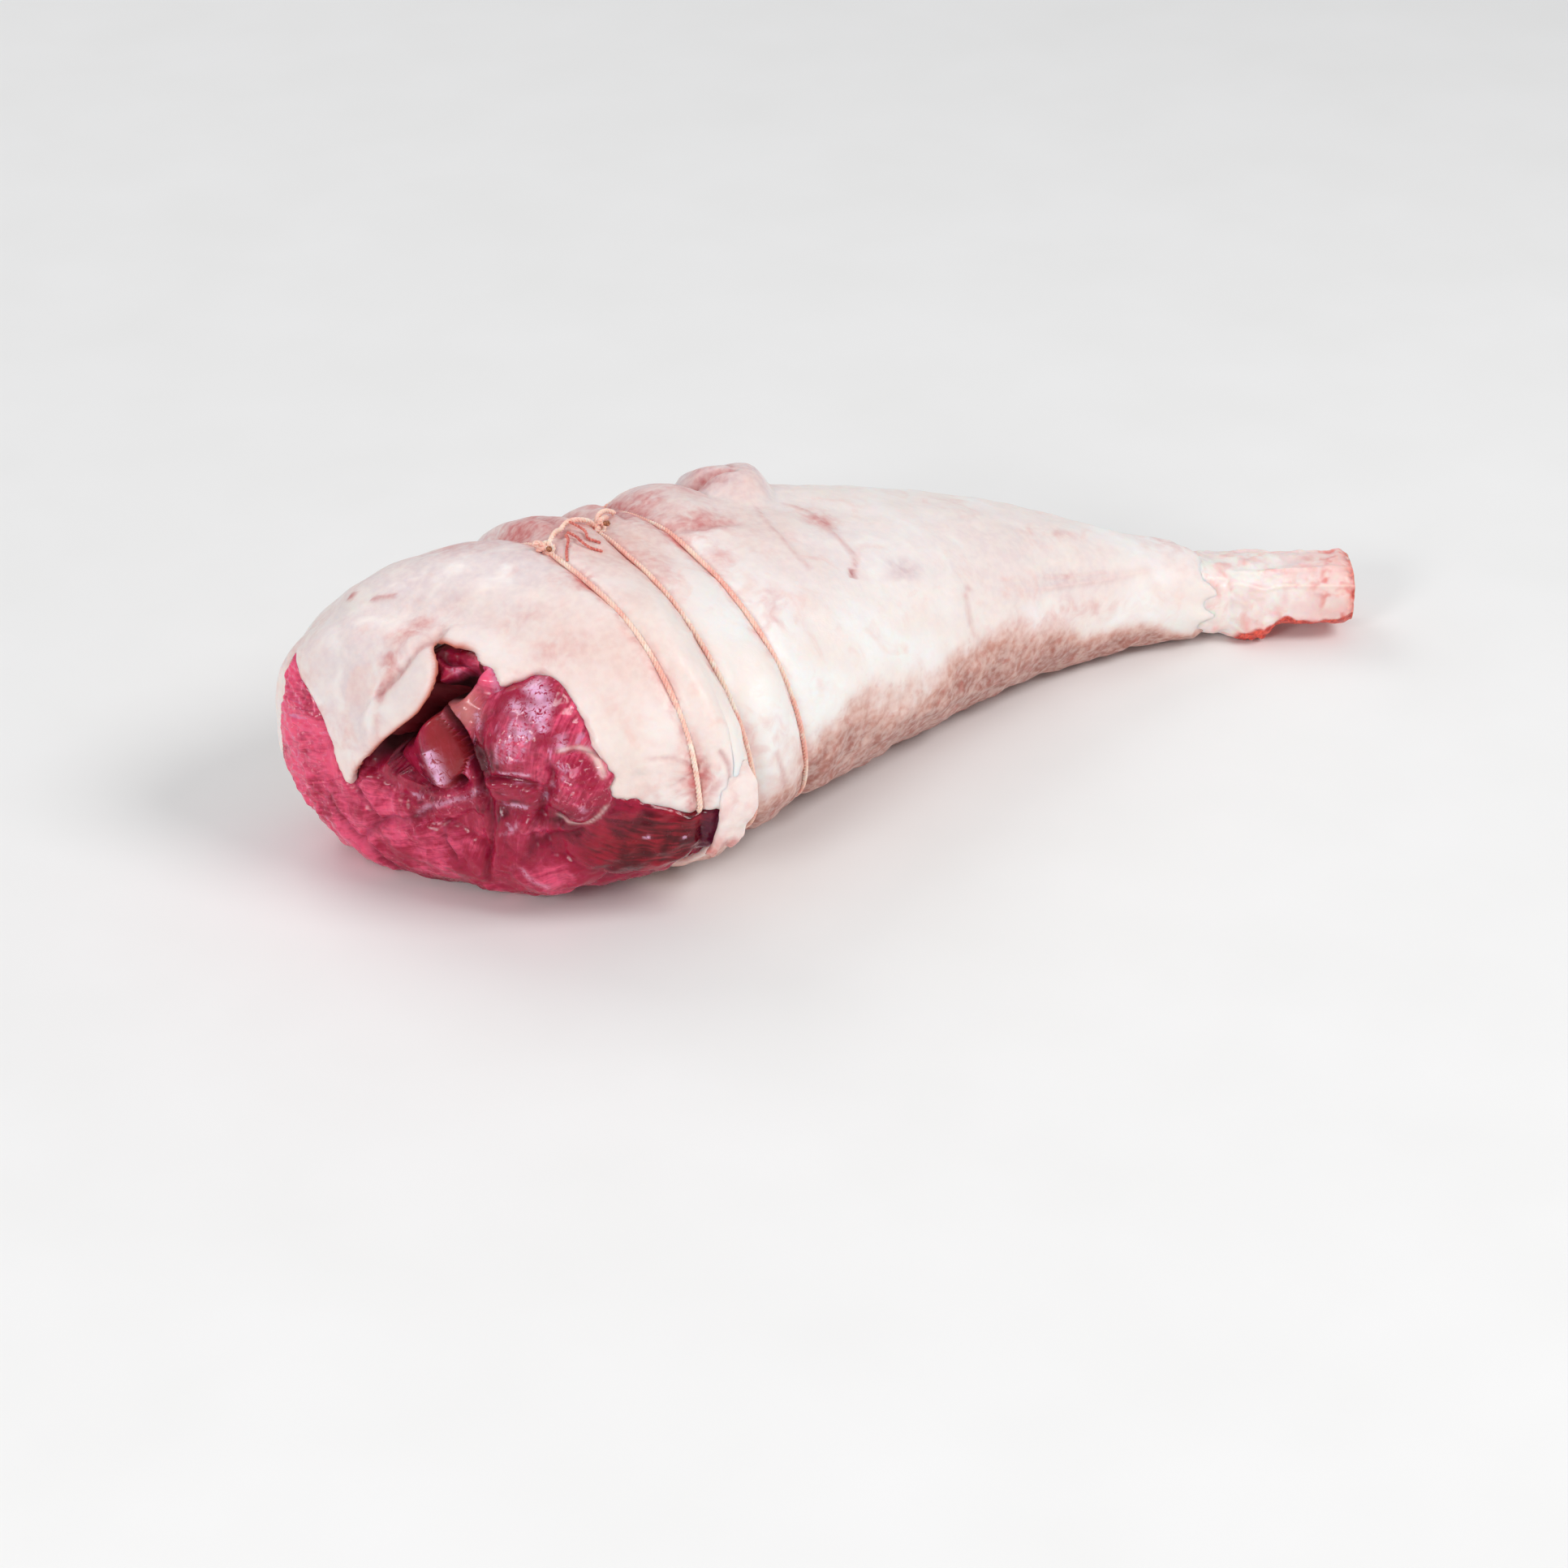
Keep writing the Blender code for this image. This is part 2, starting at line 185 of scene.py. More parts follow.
class Grid(Surface):
    """Rings of points on the plain skin, with what each point needs to know about where it is."""

    def __init__(self, face_rings, places, end_rings, turns):
        rows = [(0.0, 1 - (i / face_rings) ** 1.4) for i in range(face_rings - 1, 0, -1)]
        rows += [(place, 1.0) for place in places]
        rows += [(places[-1], 1 - (i / end_rings) ** 1.3) for i in range(1, end_rings)]
        even = np.arange(turns) * 360 / turns
        degrees = even - math.degrees(0.4) * np.sin(np.radians(even - 140))
        self.along = np.array([row[0] for row in rows])[:, None] + np.zeros(turns)
        self.share = np.array([row[1] for row in rows])[:, None] + np.zeros(turns)
        self.degrees = np.zeros((len(rows), 1)) + degrees % 360
        self.base = skin(self.along, self.degrees, self.share)
        self.map = self.unrolled()
        super().__init__(self.base.copy())
        self.marks = {}

    def unrolled(self):
        """Face places (across, height), and beyond the rim the distance along, outward from the rim."""
        face = skin(0 * self.along, self.degrees, np.where(self.along > 0, 1.0, self.share)) - FACE_MIDDLE
        rim = skin(0 * self.along, self.degrees, np.ones_like(self.along)) - FACE_MIDDLE
        flat, edge = (np.stack([q @ FACE_ACROSS, q[..., 2]], axis=-1) for q in (face, rim))
        outward = edge - (CUT_BULGE * FACE_ACROSS[0], (STATIONS[0][3] - SETTLE) / 2)
        outward /= np.linalg.norm(outward, axis=-1, keepdims=True)
        return flat + outward * self.along[..., None]

    def uphill(self, values):
        """The direction along the surface in which values grow, and how much for each millimetre."""
        down, across = self.slopes(self.shape)
        v_down, v_across = self.slopes(values)
        e, f, g = (down * down).sum(-1), (down * across).sum(-1), (across * across).sum(-1)
        area = np.maximum(e * g - f * f, 1e-9)
        first, second = (g * v_down - f * v_across) / area, (e * v_across - f * v_down) / area
        climb = first[..., None] * down + second[..., None] * across
        rate = np.linalg.norm(climb, axis=-1)
        return climb / np.maximum(rate, 1e-9)[..., None], rate

    def round_rim(self, rounds):
        """Evens out the crease between the cut face and the side of the leg."""
        beyond, on_face = ease(1 - self.along / 7), ease((self.share - 0.86) / 0.1)
        near_rim = np.where(self.along > 0, beyond, on_face)[..., None]
        for _ in range(rounds):
            level = (np.roll(self.shape, 1, axis=0) + np.roll(self.shape, -1, axis=0)) / 2
            self.shape = self.shape + 0.5 * near_rim * (level - self.shape)


def lumps(points, size, seed=0):
    """Smooth random lumps between about -1 and 1, of a size in millimetres."""
    places = points.reshape(-1, 3) / size + 17.3 * seed
    values = np.array([noise.noise(place) for place in places.tolist()])
    return 1.6 * values.reshape(points.shape[:-1])


# %% [markdown]
# ## Lines drawn on the map
# Cuts, creases and edges are lines through a few points, smoothed to a curve. What a point of the skin
# needs is its distance to such a line, which side of it it lies on, or whether it is inside a closed one.


# %% Line helpers
def through(points, closed=False, fineness=5):
    """A smooth line through points."""
    points = np.array(points, float)
    count = len(points)
    line = []
    for i in range(count if closed else count - 1):
        if closed:
            a, b, c, d = (points[(i + k) % count] for k in (-1, 0, 1, 2))
        else:
            a, b, c, d = (points[min(max(i + k, 0), count - 1)] for k in (-1, 0, 1, 2))
        for t in np.arange(fineness) / fineness:
            line.append(0.5 * (2 * b + (c - a) * t + (2 * a - 5 * b + 4 * c - d) * t**2
                               + (3 * b - a - 3 * c + d) * t**3))
    line.append(line[0] if closed else points[-1])
    return np.array(line)


def distance_to(line, spots):
    """For each spot: the distance to a line, the share of the line passed there, and the side (+1 left)."""
    best = np.full(spots.shape[:-1], 1e9)
    passed, side = np.zeros_like(best), np.zeros_like(best)
    for i in range(len(line) - 1):
        run, to_spot = line[i + 1] - line[i], spots - line[i]
        t = np.clip((to_spot @ run) / (run @ run), 0, 1)
        away = np.linalg.norm(to_spot - t[..., None] * run, axis=-1)
        closer = away < best
        best = np.where(closer, away, best)
        passed = np.where(closer, (i + t) / (len(line) - 1), passed)
        turned = np.sign(run[0] * to_spot[..., 1] - run[1] * to_spot[..., 0])
        side = np.where(closer, turned, side)
    return best, passed, side


def inside(outline, spots):
    """Whether each spot lies inside a closed line."""
    x, y = spots[..., 0], spots[..., 1]
    odd = np.zeros(x.shape, bool)
    for (x0, y0), (x1, y1) in zip(outline[:-1], outline[1:]):
        if y0 != y1:
            odd ^= ((y0 > y) != (y1 > y)) & (x < (x1 - x0) * (y - y0) / (y1 - y0) + x0)
    return odd


def hump(distance, width, power=2):
    """1 on a line and 0 well away from it."""
    return np.exp(-np.abs(distance / width) ** power)


# %% [markdown]
# ## Strings, rolls and folds
# Each string lies in a plane and pulls a groove into the skin. The soft meat rises in rolls between the
# strings, and a fold of fat stands up on the far side behind the last one. The same swelling is used for
# the fat and for the meat under it, so that they stay together.

# %% Swelling of the soft body
STRINGS = {"string_1": (45, 0.10, -0.07), "string_2": (76.5, 0.0, -0.19), "string_3": (99.5, 0.03, -0.20)}
LEAN_HEIGHT = 45
ROLLS = (  # place along, angle, height, half length, half spread, and over 0 for a soft edge
    (60, 45, 3.2, 10, 48, 0),
    (81, 44, 2.2, 10, 50, 0),
    (106, 46, 4.6, 15, 45, 0),
    (132, 54, 7.4, 15.5, 32, 1.3),
    (75, 48, -1.6, 75, 42, 1),
    (48, 52, -3.4, 7, 32, 1),
    (69, 50, -1.4, 7, 36, 1),
    (60, 195, 2.0, 15, 60, 1),
    (88, 195, 2.0, 13, 60, 1),
    (2, 44, 1.4, 24, 40, 1),
    (30, 54, 1.2, 14, 36, 1),
)
GROOVE = ((1.3, 2.3), (0.9, 6.0))  # depth and half width: a narrow bed in a wide dip


def past_string(points, name):
    """How far points lie past a string's plane, along the leg."""
    place, across, up = STRINGS[name]
    return points[..., 0] + across * points[..., 1] - up * (points[..., 2] - LEAN_HEIGHT) - place


def angle_between(first, second):
    return np.abs((first - second + 180) % 360 - 180)


def swelling(grid):
    proud = np.zeros_like(grid.along)
    for name in STRINGS:
        away = past_string(grid.base, name)
        proud -= sum(depth * hump(away, width) for depth, width in GROOVE)
    for place, angle, height, length, spread, soft_edge in ROLLS:
        away = ((grid.along - place) / length) ** 2 + (angle_between(grid.degrees, angle) / spread) ** 2
        rise = np.maximum(0, 1 - away)
        proud += height * (ease(soft_edge * rise) if soft_edge else rise)
    return proud * ease((grid.share - 0.55) / 0.45)


# %% [markdown]
# ## The butcher's window in the fat
# The fat coat is open over the cut face. Its edge runs down from a notch at the top, along the near side,
# under the leg and up again, and between the notch and the left side a flap of fat hangs down over the
# face. The outline is drawn on the flat map. The flap's right edge is free: a deep pocket opens under it.

# %% Outline of the window
FLAP_EDGE = (
    (-11.9, 43.5), (-2.9, 55.4), (6.6, 65), (12.2, 70.6), (15.6, 77.6), (15.2, 83.4), (11.8, 86.4),
)
WINDOW = through((
    (9.7, 88.4), (14.4, 88.2), (20.5, 88), (26, 87.6), (30.5, 86.6), (33.6, 84.8), (36, 82.3), (38.7, 84.2),
    (43.2, 85.6), (48.9, 83.8), (55.5, 80.6), (59.4, 76.7), (63.3, 71.6), (66.1, 66.6), (69.8, 62),
    (72.5, 57.7), (72.3, 51), (75.7, 48.3), (79.2, 47.4), (85.8, 40.5), (91.3, 34.8), (97, 32), (106, 31),
    (112, 22), (108, 6), (98, -6), (60, -22), (11, -28), (-32, -14), (-50, 1), (-52, 22), (-48.4, 42),
    (-44.8, 56), (-44, 64), (-43, 70.4), (-40.6, 67.8), (-36.2, 63.8), (-29.5, 58.5), (-25.5, 50),
    (-21.5, 43), (-16, 36.5), *FLAP_EDGE,
), closed=True)
FREE_EDGE = through(((-16, 37), *FLAP_EDGE))
CREASE = through(((9.8, 88.6), (6.3, 86.3), (3.6, 82.1), (-0.7, 76.5), (-4, 72)))
PINK_ARC = through(((4, 90), (0, 89.4), (-3.1, 88.3), (-6.4, 86), (-5.6, 83), (-2.5, 81.5)))


def fat_side(grid):
    """Millimetres inside the edge of the fat (negative in the window), and the direction into the fat."""
    distance, _, _ = distance_to(WINDOW, grid.map)
    side = np.where(inside(WINDOW, grid.map), -distance, distance)
    frayed = hump(np.hypot(grid.map[..., 0] - 76, grid.map[..., 1] - 51) / 12, 1.0, 4)
    ragged = 0.9 * lumps(grid.base, 9, 1) + (0.2 + 0.5 * frayed) * lumps(grid.base, 3.0, 2)
    side = side + ragged * np.clip(distance_to(FREE_EDGE, grid.map)[0] / 10, 0.25, 1)
    into, rate = grid.uphill(side)
    return side / np.clip(rate, 0.5, 4), into


# %% Tendons, furrows and folds on the fat
FAT_LINES = (  # places (along, angle), half width, how proud, how stained
    (((7, 50), (11, 50)), 1.2, 0.5, 0.9),
    (((6, 60), (8, 68)), 0.9, 0.4, 0.7),
    (((130, 83), (125, 96), (125, 112), (127, 121)), 0.8, 0.35, 0.35),
    (((140, 82), (147, 92), (147, 105), (148, 117), (142, 126)), 0.9, 0.4, 0.45),
    (((144, 122), (142, 127)), 1.0, -0.9, 1.0),
    (((191, 142), (186, 150), (187, 162), (189, 174)), 0.8, -0.3, 0.4),
    (((220, 154), (238, 153), (256, 150), (278, 136)), 1.1, 0.7, 0.15),
    (((224, 146), (240, 148), (258, 144)), 0.8, 0.4, 0.15),
    (((88, 82), (94, 90), (106, 92), (117, 93)), 2.0, -0.9, 0.5),
    (((53, 128), (62, 129), (70, 126)), 0.7, 0.35, 0.0),
    (((50, 84), (56, 74), (59, 60), (58, 40)), 1.8, -1.2, 0.9),
    (((80, 80), (83, 68), (86, 55), (84, 35)), 1.8, -1.3, 0.9),
    (((117, 60), (124, 66), (132, 70)), 1.5, -2.0, 1.0),
    (((113, 48), (118, 62), (127, 74)), 1.5, -1.0, 0.6),
    (((129, 52), (133, 60), (131, 68)), 1.0, -1.0, 0.7),
    (((5, 162), (12, 166), (18, 173), (27, 172)), 0.7, -0.4, 0.25),
    (((8, 176), (16, 174), (24, 168)), 0.7, -0.35, 0.2),
    (((13, 184), (19, 179), (23, 171)), 0.7, -0.6, 0.3),
    (((30, 168), (37, 175), (40, 184)), 0.8, -0.6, 0.5),
    (((12, 149), (26, 153), (37, 161)), 1.3, 0.25, 0.0),
    (((56, 176), (60, 184), (66, 190)), 0.9, -0.6, 0.3),
    (((84, 176), (88, 186), (92, 200)), 0.9, -0.6, 0.5),
    (((60, 300), (100, 309), (150, 306), (200, 318)), 2.4, -1.0, 0.3),
    (((30, 330), (60, 338), (110, 334), (150, 342)), 1.6, -0.8, 0.5),
    (((110, 20), (150, 14), (200, 24), (240, 20)), 1.4, 0.5, 0.3),
)


def fat_lines(grid):
    """How the lines raise or sink the fat, and how much they stain it."""
    relief, stain = np.zeros_like(grid.along), np.zeros_like(grid.along)
    for places, width, proud, stained in FAT_LINES:
        line = through(places)
        on_skin = skin(line[:, 0], line[:, 1], np.ones(len(line)))
        away, passed, _ = distance_to(on_skin, grid.base)
        fade = ease(passed * 6) * ease((1 - passed) * 6)
        relief += proud * hump(away, width) * fade
        stain = np.maximum(stain, stained * hump(away, width * 1.3) * fade)
    behind_rim = ease(grid.along / 4)
    return relief * behind_rim, stain * behind_rim


# %% Fat cover: shape
grid = Grid(face_rings=60, places=steps((60, 1.0), (150, 1.4), (304, 2.6)), end_rings=8, turns=384)
grid.push(swelling(grid))
grid.round_rim(24)
side, into = fat_side(grid)
to_free, free_share, _ = distance_to(FREE_EDGE, grid.map)
near_free = hump(to_free, 9, 4) * ease(free_share * 6)
to_crease, _, crease_side = distance_to(CREASE, grid.map)
lines, line_stain = fat_lines(grid)

# The flap lifts towards its free edge, and folds along a crease.
flap_lift = 2.6 * hump(to_free, 11) * (side > -6)
crease_depth = -1.9 * hump(to_crease, 1.5) + 0.9 * hump(to_crease - 5, 4) * (crease_side > 0)
soft = 0.9 * lumps(grid.base, 28, 3) + 0.3 * lumps(grid.base, 9, 4) + 0.07 * lumps(grid.base, 3.5, 5)

# The lower flank behind the strings is thin, lumpy fat over meat, and so is the underside.
FLANK_ALONG, FLANK_TOP = (20, 85, 110, 130, 166, 208, 240, 290), (214, 185, 174, 172, 173, 174, 180, 205)
flank_top = np.interp(grid.along, FLANK_ALONG, FLANK_TOP) + 7 * lumps(grid.base, 22, 10)
flank = ease((grid.degrees - flank_top + 14) / 40) * ease((305 - grid.degrees) / 25)
flank = flank * ease((grid.along - 20) / 40)
far_low = ease(1.3 - angle_between(grid.degrees, 318) / 38) * ease(grid.along / 30)
raw = np.clip(flank + 0.6 * far_low, 0, 1) * (grid.share >= 1)
soft += raw * (0.7 * lumps(grid.base, 8, 6) + 0.4 * lumps(grid.base, 4.5, 7))

# Beside the window the coat is thin and wrinkled.
wrinkled = hump(np.hypot((grid.along - 16) / 22, (grid.degrees - 172) / 17), 1.0, 4) * (grid.share >= 1)
soft += wrinkled * (0.5 * lumps(grid.base * (1, 1, 0.5), 6, 14) + 0.3 * lumps(grid.base, 3, 15))

# The lump on the far side is a fold lying over, steep on its near side.
lump = hump(np.hypot((grid.along - 138) / 17, (grid.degrees - 60) / 13), 1.0, 2.2) * (grid.share >= 1)
soft += lump * (1.2 + 0.5 * lumps(grid.base, 7, 8))

# Towards the shank the coat thins to nothing and ends in an uneven edge on the bone.
bare = ease((grid.along - 292 - 4.5 * lumps(grid.base, 7, 9)) / 8)

# Inside the window the coat drops away under the meat, deeper beside the flap's free edge.
edge_depths = np.array((0.0, 0.5, 1.2, 2.4, 4.0, 9.0))
thin_edge = np.interp(-side, edge_depths, (0.9, 2.2, 3.4, 4.6, 7.0, 25.0)) * (side < 0)
thick_edge = np.interp(-side, edge_depths, (0.9, 2.8, 4.6, 6.0, 9.0, 27.0)) * (side < 0)
rounding = 0.9 * (1 - np.clip(side / 3, 0, 1)) ** 2 * (side >= 0)
drop = rounding + thin_edge * (1 - near_free) + thick_edge * near_free
tuck = np.interp(-side, edge_depths, (0.0, 0.1, 0.6, 1.0, 1.0, 0.0)) * (2.0 + 5.0 * near_free)
out = 0.8 + soft + lines + flap_lift + crease_depth - drop - 3.6 * bare
grid.shape = grid.shape + grid.normals() * out[..., None]
grid.shape = grid.shape + into * tuck[..., None]
grid.shape[..., 2] = np.maximum(grid.shape[..., 2], 0.02 + FLAT_SHARE * station(grid.along)[3])
fat_grid = grid
print("fat cover grid:", grid.along.shape)

# %% [markdown]
# ## The cut face
# Across the face the butcher's knife shows the leg's muscles end on: rounded lobes pressed together, with
# creases where they meet. Each lobe is a dome on the map, and the highest dome wins, which leaves sharp
# creases between them. The pocket under the flap, the gap beside the tongue of meat and the long seam are
# lines that sink into the surface.

# %% Lobes, creases and slots of the cut face
LOBES = (  # place on the map, half sizes, how proud, turn, and the direction of the fibres
    (47, 68.5, 16.5, 16.5, 6.2, 0, 85),
    (25, 74, 8.5, 7.5, 1.6, 30, 60),
    (65, 53.5, 10, 12, 6.4, 0, 70),
    (84, 29, 27, 19, 4.4, -30, -35),
    (108, 18, 14, 16, 3.2, 0, -30),
    (2, 19, 38, 17, 4.4, -6, 15),
    (44, 30, 11, 17, 3.6, 10, 80),
    (53, 16, 18, 10, 3.4, 22, 20),
    (-41, 42, 14, 36, 3.4, 8, 12),
    (17, 37, 19, 5.5, 3.2, 30, 28),
    (46, 49, 10, 6.5, 3.2, 5, 10),
    (34, 45, 4.5, 8, 2.4, 0, 90),
    (21.5, 85.4, 6.5, 2.6, 0.7, -15, 0),
    (31.5, 85, 5.5, 4.2, 2.2, -40, 0),
    (-8, 35, 11, 6.5, 2.6, -20, 0),
    (-14, 7, 34, 16, 5.2, -2, 15),
    (30, 6, 24, 14, 1.4, 0, 15),
    (33.3, 60, 3, 5.5, 2.6, 10, 80),
    (41, 52.5, 5.5, 3.2, 3.4, 12, 20),
    (50.5, 50, 4.5, 3.4, 3.8, -14, 30),
    (50, 38.5, 6, 5.5, 4.3, 20, 60),
    (40.5, 22, 7, 6.5, 4.1, -20, 80),
    (30, 20, 6, 9, 4.2, 8, 70),
    (12, 26, 12, 5, 5.0, 24, 20),
    (66, 46, 6, 4, 5.6, 30, 40),
)
CREASES = (  # places on the map, half width, depth
    (((55.7, 67), (56.7, 58.8), (56.3, 52.3), (54.4, 47), (53.2, 42), (51.2, 31.5), (43.9, 20.7)), 1.2, 1.7),
    (((38, 55), (45.5, 54.6), (53.5, 54)), 1.1, 1.5),
    (((19, 40.5), (8.5, 31), (-2.5, 26), (-10.7, 19), (-17, 11)), 1.6, 2.4),
    (((36.5, 47), (37, 38.8), (35.9, 25.6), (30.8, 6.9)), 1.2, 2.6),
    (((68, 41), (60, 35), (51, 31)), 1.4, 1.6),
    (((38, 76), (33, 71.5), (36, 65)), 1.0, 1.0),
    (((40, 47), (43, 41), (42, 34), (46, 27)), 0.8, 0.7),
    (((-20, 38), (-10, 29), (-6, 24)), 1.2, 1.6), (((-30, 30), (-18, 16), (-2, 6), (16, 2)), 1.6, 1.4),
    (((22, 36), (20, 28), (23, 18)), 1.2, 1.4),
    (((9, 86.8), (18.3, 86.9), (25.8, 85.4), (29.5, 83.6)), 1.1, 4.5),
)
TONGUE = through(((13, 70.5), (17, 69.5), (22, 65), (26, 60.5), (27.6, 56), (25.5, 49.5), (22.5, 45.5),
                  (15, 43.3), (8, 43.2), (0, 44.5), (-3, 47), (0, 52.5), (6, 61)), closed=True)
TONGUE_RIDGE = through(((12.6, 68), (13.4, 61), (16, 55), (20.8, 46.5)))
POCKET = through(((26.5, 83), (22, 80), (17, 75.5), (10, 66.5), (4, 60), (-2, 52.5), (-9, 43.5)))
GAP = through(((18, 73), (24, 66), (29.5, 58.5), (33, 51.5), (35.5, 45)))
HOLE = (25.6, 48.2)


def lobe_distance(spots, lobe):
    """0 at a lobe's middle and 1 at its edge."""
    u, v, half_u, half_v, _, turn, _ = lobe
    turn = math.radians(turn)
    du, dv = spots[..., 0] - u, spots[..., 1] - v
    along, across = math.cos(turn) * du + math.sin(turn) * dv, math.cos(turn) * dv - math.sin(turn) * du
    return np.hypot(along / half_u, across / half_v)


def face_relief(spots, points):
    """How proud the muscles stand, how deep the slots are, the painted shade in slots and creases, the
    tongue, and the fibres' direction.
    """
    bent = spots + 1.2 * np.stack([lumps(points, 9, 11), lumps(points, 9, 12)], axis=-1)
    proud, fibres = np.full(spots.shape[:-1], -0.3), np.zeros(spots.shape[:-1])
    for lobe in LOBES:
        dome = lobe[4] * np.maximum(0, 1 - lobe_distance(bent, lobe) ** 2) ** 0.55
        fibres = np.where(dome > proud, lobe[6], fibres)
        proud = np.maximum(proud, dome)
    creased = np.zeros_like(proud)
    for places, width, depth in CREASES:
        away, passed, _ = distance_to(through(places), bent)
        fold = hump(away, width, 1.4) * ease(passed * 6) * ease((1 - passed) * 6)
        proud, creased = proud - depth * fold, np.maximum(creased, fold * min(depth / 1.6, 1))

    # The tongue: a rounded three-sided wedge of smooth muscle, lower than its neighbours.
    to_edge, _, _ = distance_to(TONGUE, spots)
    to_ridge, _, ridge_side = distance_to(TONGUE_RIDGE, spots)
    in_tongue = inside(TONGUE, spots)
    rounded = np.hypot(to_ridge, 0.7) - 0.7
    wedge = 3.8 - np.where(ridge_side > 0, 0.44, 0.55) * rounded - 3.0 * np.exp(-to_edge / 0.9)
    proud, fibres = np.where(in_tongue, wedge, proud), np.where(in_tongue, 110, fibres)

    to_pocket, pocket_share, pocket_side = distance_to(POCKET, bent)
    width = np.where(pocket_side > 0, 2.4, np.where(pocket_share > 0.3, 8.0, 2.6))
    reach = np.interp(pocket_share, (0, 0.15, 0.35, 0.65, 0.8, 0.92, 1), (6, 12, 19, 17, 9, 5, 2))
    deep = reach * hump(to_pocket, width, 3)
    to_gap, gap_share, _ = distance_to(GAP, bent)
    gap_depth = np.interp(gap_share, (0, 0.2, 0.5, 0.8, 1), (9, 11, 11, 7, 2))
    deep = np.maximum(deep, gap_depth * hump(to_gap, 1.4))
    deep = np.maximum(deep, 6 * hump(np.hypot(spots[..., 0] - HOLE[0], spots[..., 1] - HOLE[1]), 1.9, 3))
    # Last value: painted shade, dark in the slots and pockets and along the creases.
    return proud, deep, np.maximum(np.clip(deep / 6, 0, 1), 0.42 * creased), in_tongue, fibres


# %% Cut meat: shape
MEAT_RECESS = 1.9
meat = Grid(face_rings=84, places=steps((40, 0.75), (80, 3.1)), end_rings=5, turns=600)
meat.push(swelling(meat))
meat.round_rim(40)
smooth_normals = meat.normals()
meat_side, _ = fat_side(meat)
proud, deep, recess_shade, in_tongue, fibres = face_relief(meat.map, meat.base)
in_window = ease(1 - meat_side / 4)
rough = np.zeros_like(meat.along)
for lobe, reach, strength in ((LOBES[8], 1.1, 1.0), (LOBES[9], 1.1, 0.8), (LOBES[2], 0.8, 0.8)):
    rough = np.maximum(rough, strength * hump(lobe_distance(meat.map, lobe), reach, 4))
smooth = np.where(in_tongue, 0.15, 1.0) * (1 - 0.9 * np.clip(deep / 6, 0, 1))
grain = 0.6 * lumps(meat.base, 11, 21) + smooth * (0.6 * lumps(meat.base, 5, 22)
                                                  + (0.2 + 0.35 * rough) * lumps(meat.base, 2.0, 23))
swirl = np.hypot(meat.map[..., 0] - 46, meat.map[..., 1] - 67)
grain += 0.4 * np.sin(swirl * 1.35 + lumps(meat.base, 8, 25)) * hump(swirl, 12, 4)
out = -MEAT_RECESS + (proud + grain - deep) * in_window - 3.5 * ease(meat_side / 4)
out = out - 8 * ease((meat.along - 40) / 30)
meat.shape = meat.shape + smooth_normals * out[..., None]
meat.shape[..., 2] = np.maximum(meat.shape[..., 2], 0.05)
print("cut meat grid:", meat.along.shape)

# %% [markdown]
# ## From grid to mesh
# A grid becomes a closed mesh: a quad between each four neighbours and a fan at each pole. The marks (how
# raw, how deep, how pink a place is) are stored on the points as attributes, and the materials read them.


# %% Mesh maker
def to_frame(points):
    """From the leg's own millimetres to metres in the frame."""
    return (np.asarray(points) + SHIFT) * MM


def new_piece(name, points, faces, finish, marks=None):
    mesh = bpy.data.meshes.new(name)
    mesh.from_pydata(np.asarray(points).tolist(), [], faces)
    mesh.materials.append(finish)
    mesh.shade_smooth()
    for mark, values in (marks or {}).items():
        values = np.asarray(values, np.float32)
        kind, key = ("FLOAT", "value") if values.ndim == 1 else ("FLOAT_VECTOR", "vector")
        mesh.attributes.new(mark, kind, "POINT").data.foreach_set(key, values.ravel())
    mesh.update()
    piece = bpy.data.objects.new(name, mesh)
    bpy.context.scene.collection.objects.link(piece)
    return piece


def closed_rings(name, rings, finish, marks=None):
    """A closed mesh through rings of points (rings, turns, 3), with a fan at each end."""
    count, turns = rings.shape[:2]
    points = np.concatenate([rings.reshape(-1, 3), rings[:1].mean(axis=1), rings[-1:].mean(axis=1)])
    i, j = np.meshgrid(np.arange(count - 1), np.arange(turns), indexing="ij")
    k = (j + 1) % turns
    quads = np.stack([i * turns + j, i * turns + k, (i + 1) * turns + k, (i + 1) * turns + j], axis=-1)
    faces = quads.reshape(-1, 4).tolist()
    first, last, end = count * turns, count * turns + 1, (count - 1) * turns
    faces += [[first, (a + 1) % turns, a] for a in range(turns)]
    faces += [[last, end + a, end + (a + 1) % turns] for a in range(turns)]
    full = {}
    for mark, values in (marks or {}).items():
        values = values.reshape(count, turns, -1)
        ends = np.stack([values[0].mean(axis=0), values[-1].mean(axis=0)])
        full[mark] = np.concatenate([values.reshape(count * turns, -1), ends]).squeeze()
    return new_piece(name, points, faces, finish, full)


def finished(piece, slot, *nodes):
    """The frame's calls for a finished piece."""
    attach(piece, "root")
    if nodes:
        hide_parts(*nodes)
    print(piece.name, len(piece.data.polygons), "faces, slot", slot)
    return piece


# %% [markdown]
# ## Finishes
# Fat and raw meat both let light in and scatter it, and both are wet. So each finish is a principled
# shader with subsurface light and a thin wet coat, a colour built from noise at three scales, and a fine
# bump.


# %% Node helpers
def srgb(red, green, blue):
    """A colour as it looks on a screen (0 to 255), made linear."""
    values = []
    for value in (red, green, blue):
        value /= 255
        values.append(value / 12.92 if value <= 0.04045 else ((value + 0.055) / 1.055) ** 2.4)
    return (*values, 1.0)


def add_node(tree, kind, inputs=None, **settings):
    """A node with its settings; each input is a value or the socket that it is linked from."""
    node = tree.nodes.new(kind)
    for key, value in settings.items():
        setattr(node, key, value)
    for key, value in (inputs or {}).items():
        give(tree, node.inputs[key], value)
    return node


def give(tree, socket, value):
    if isinstance(value, bpy.types.NodeSocket):
        tree.links.new(value, socket)
    else:
        socket.default_value = value


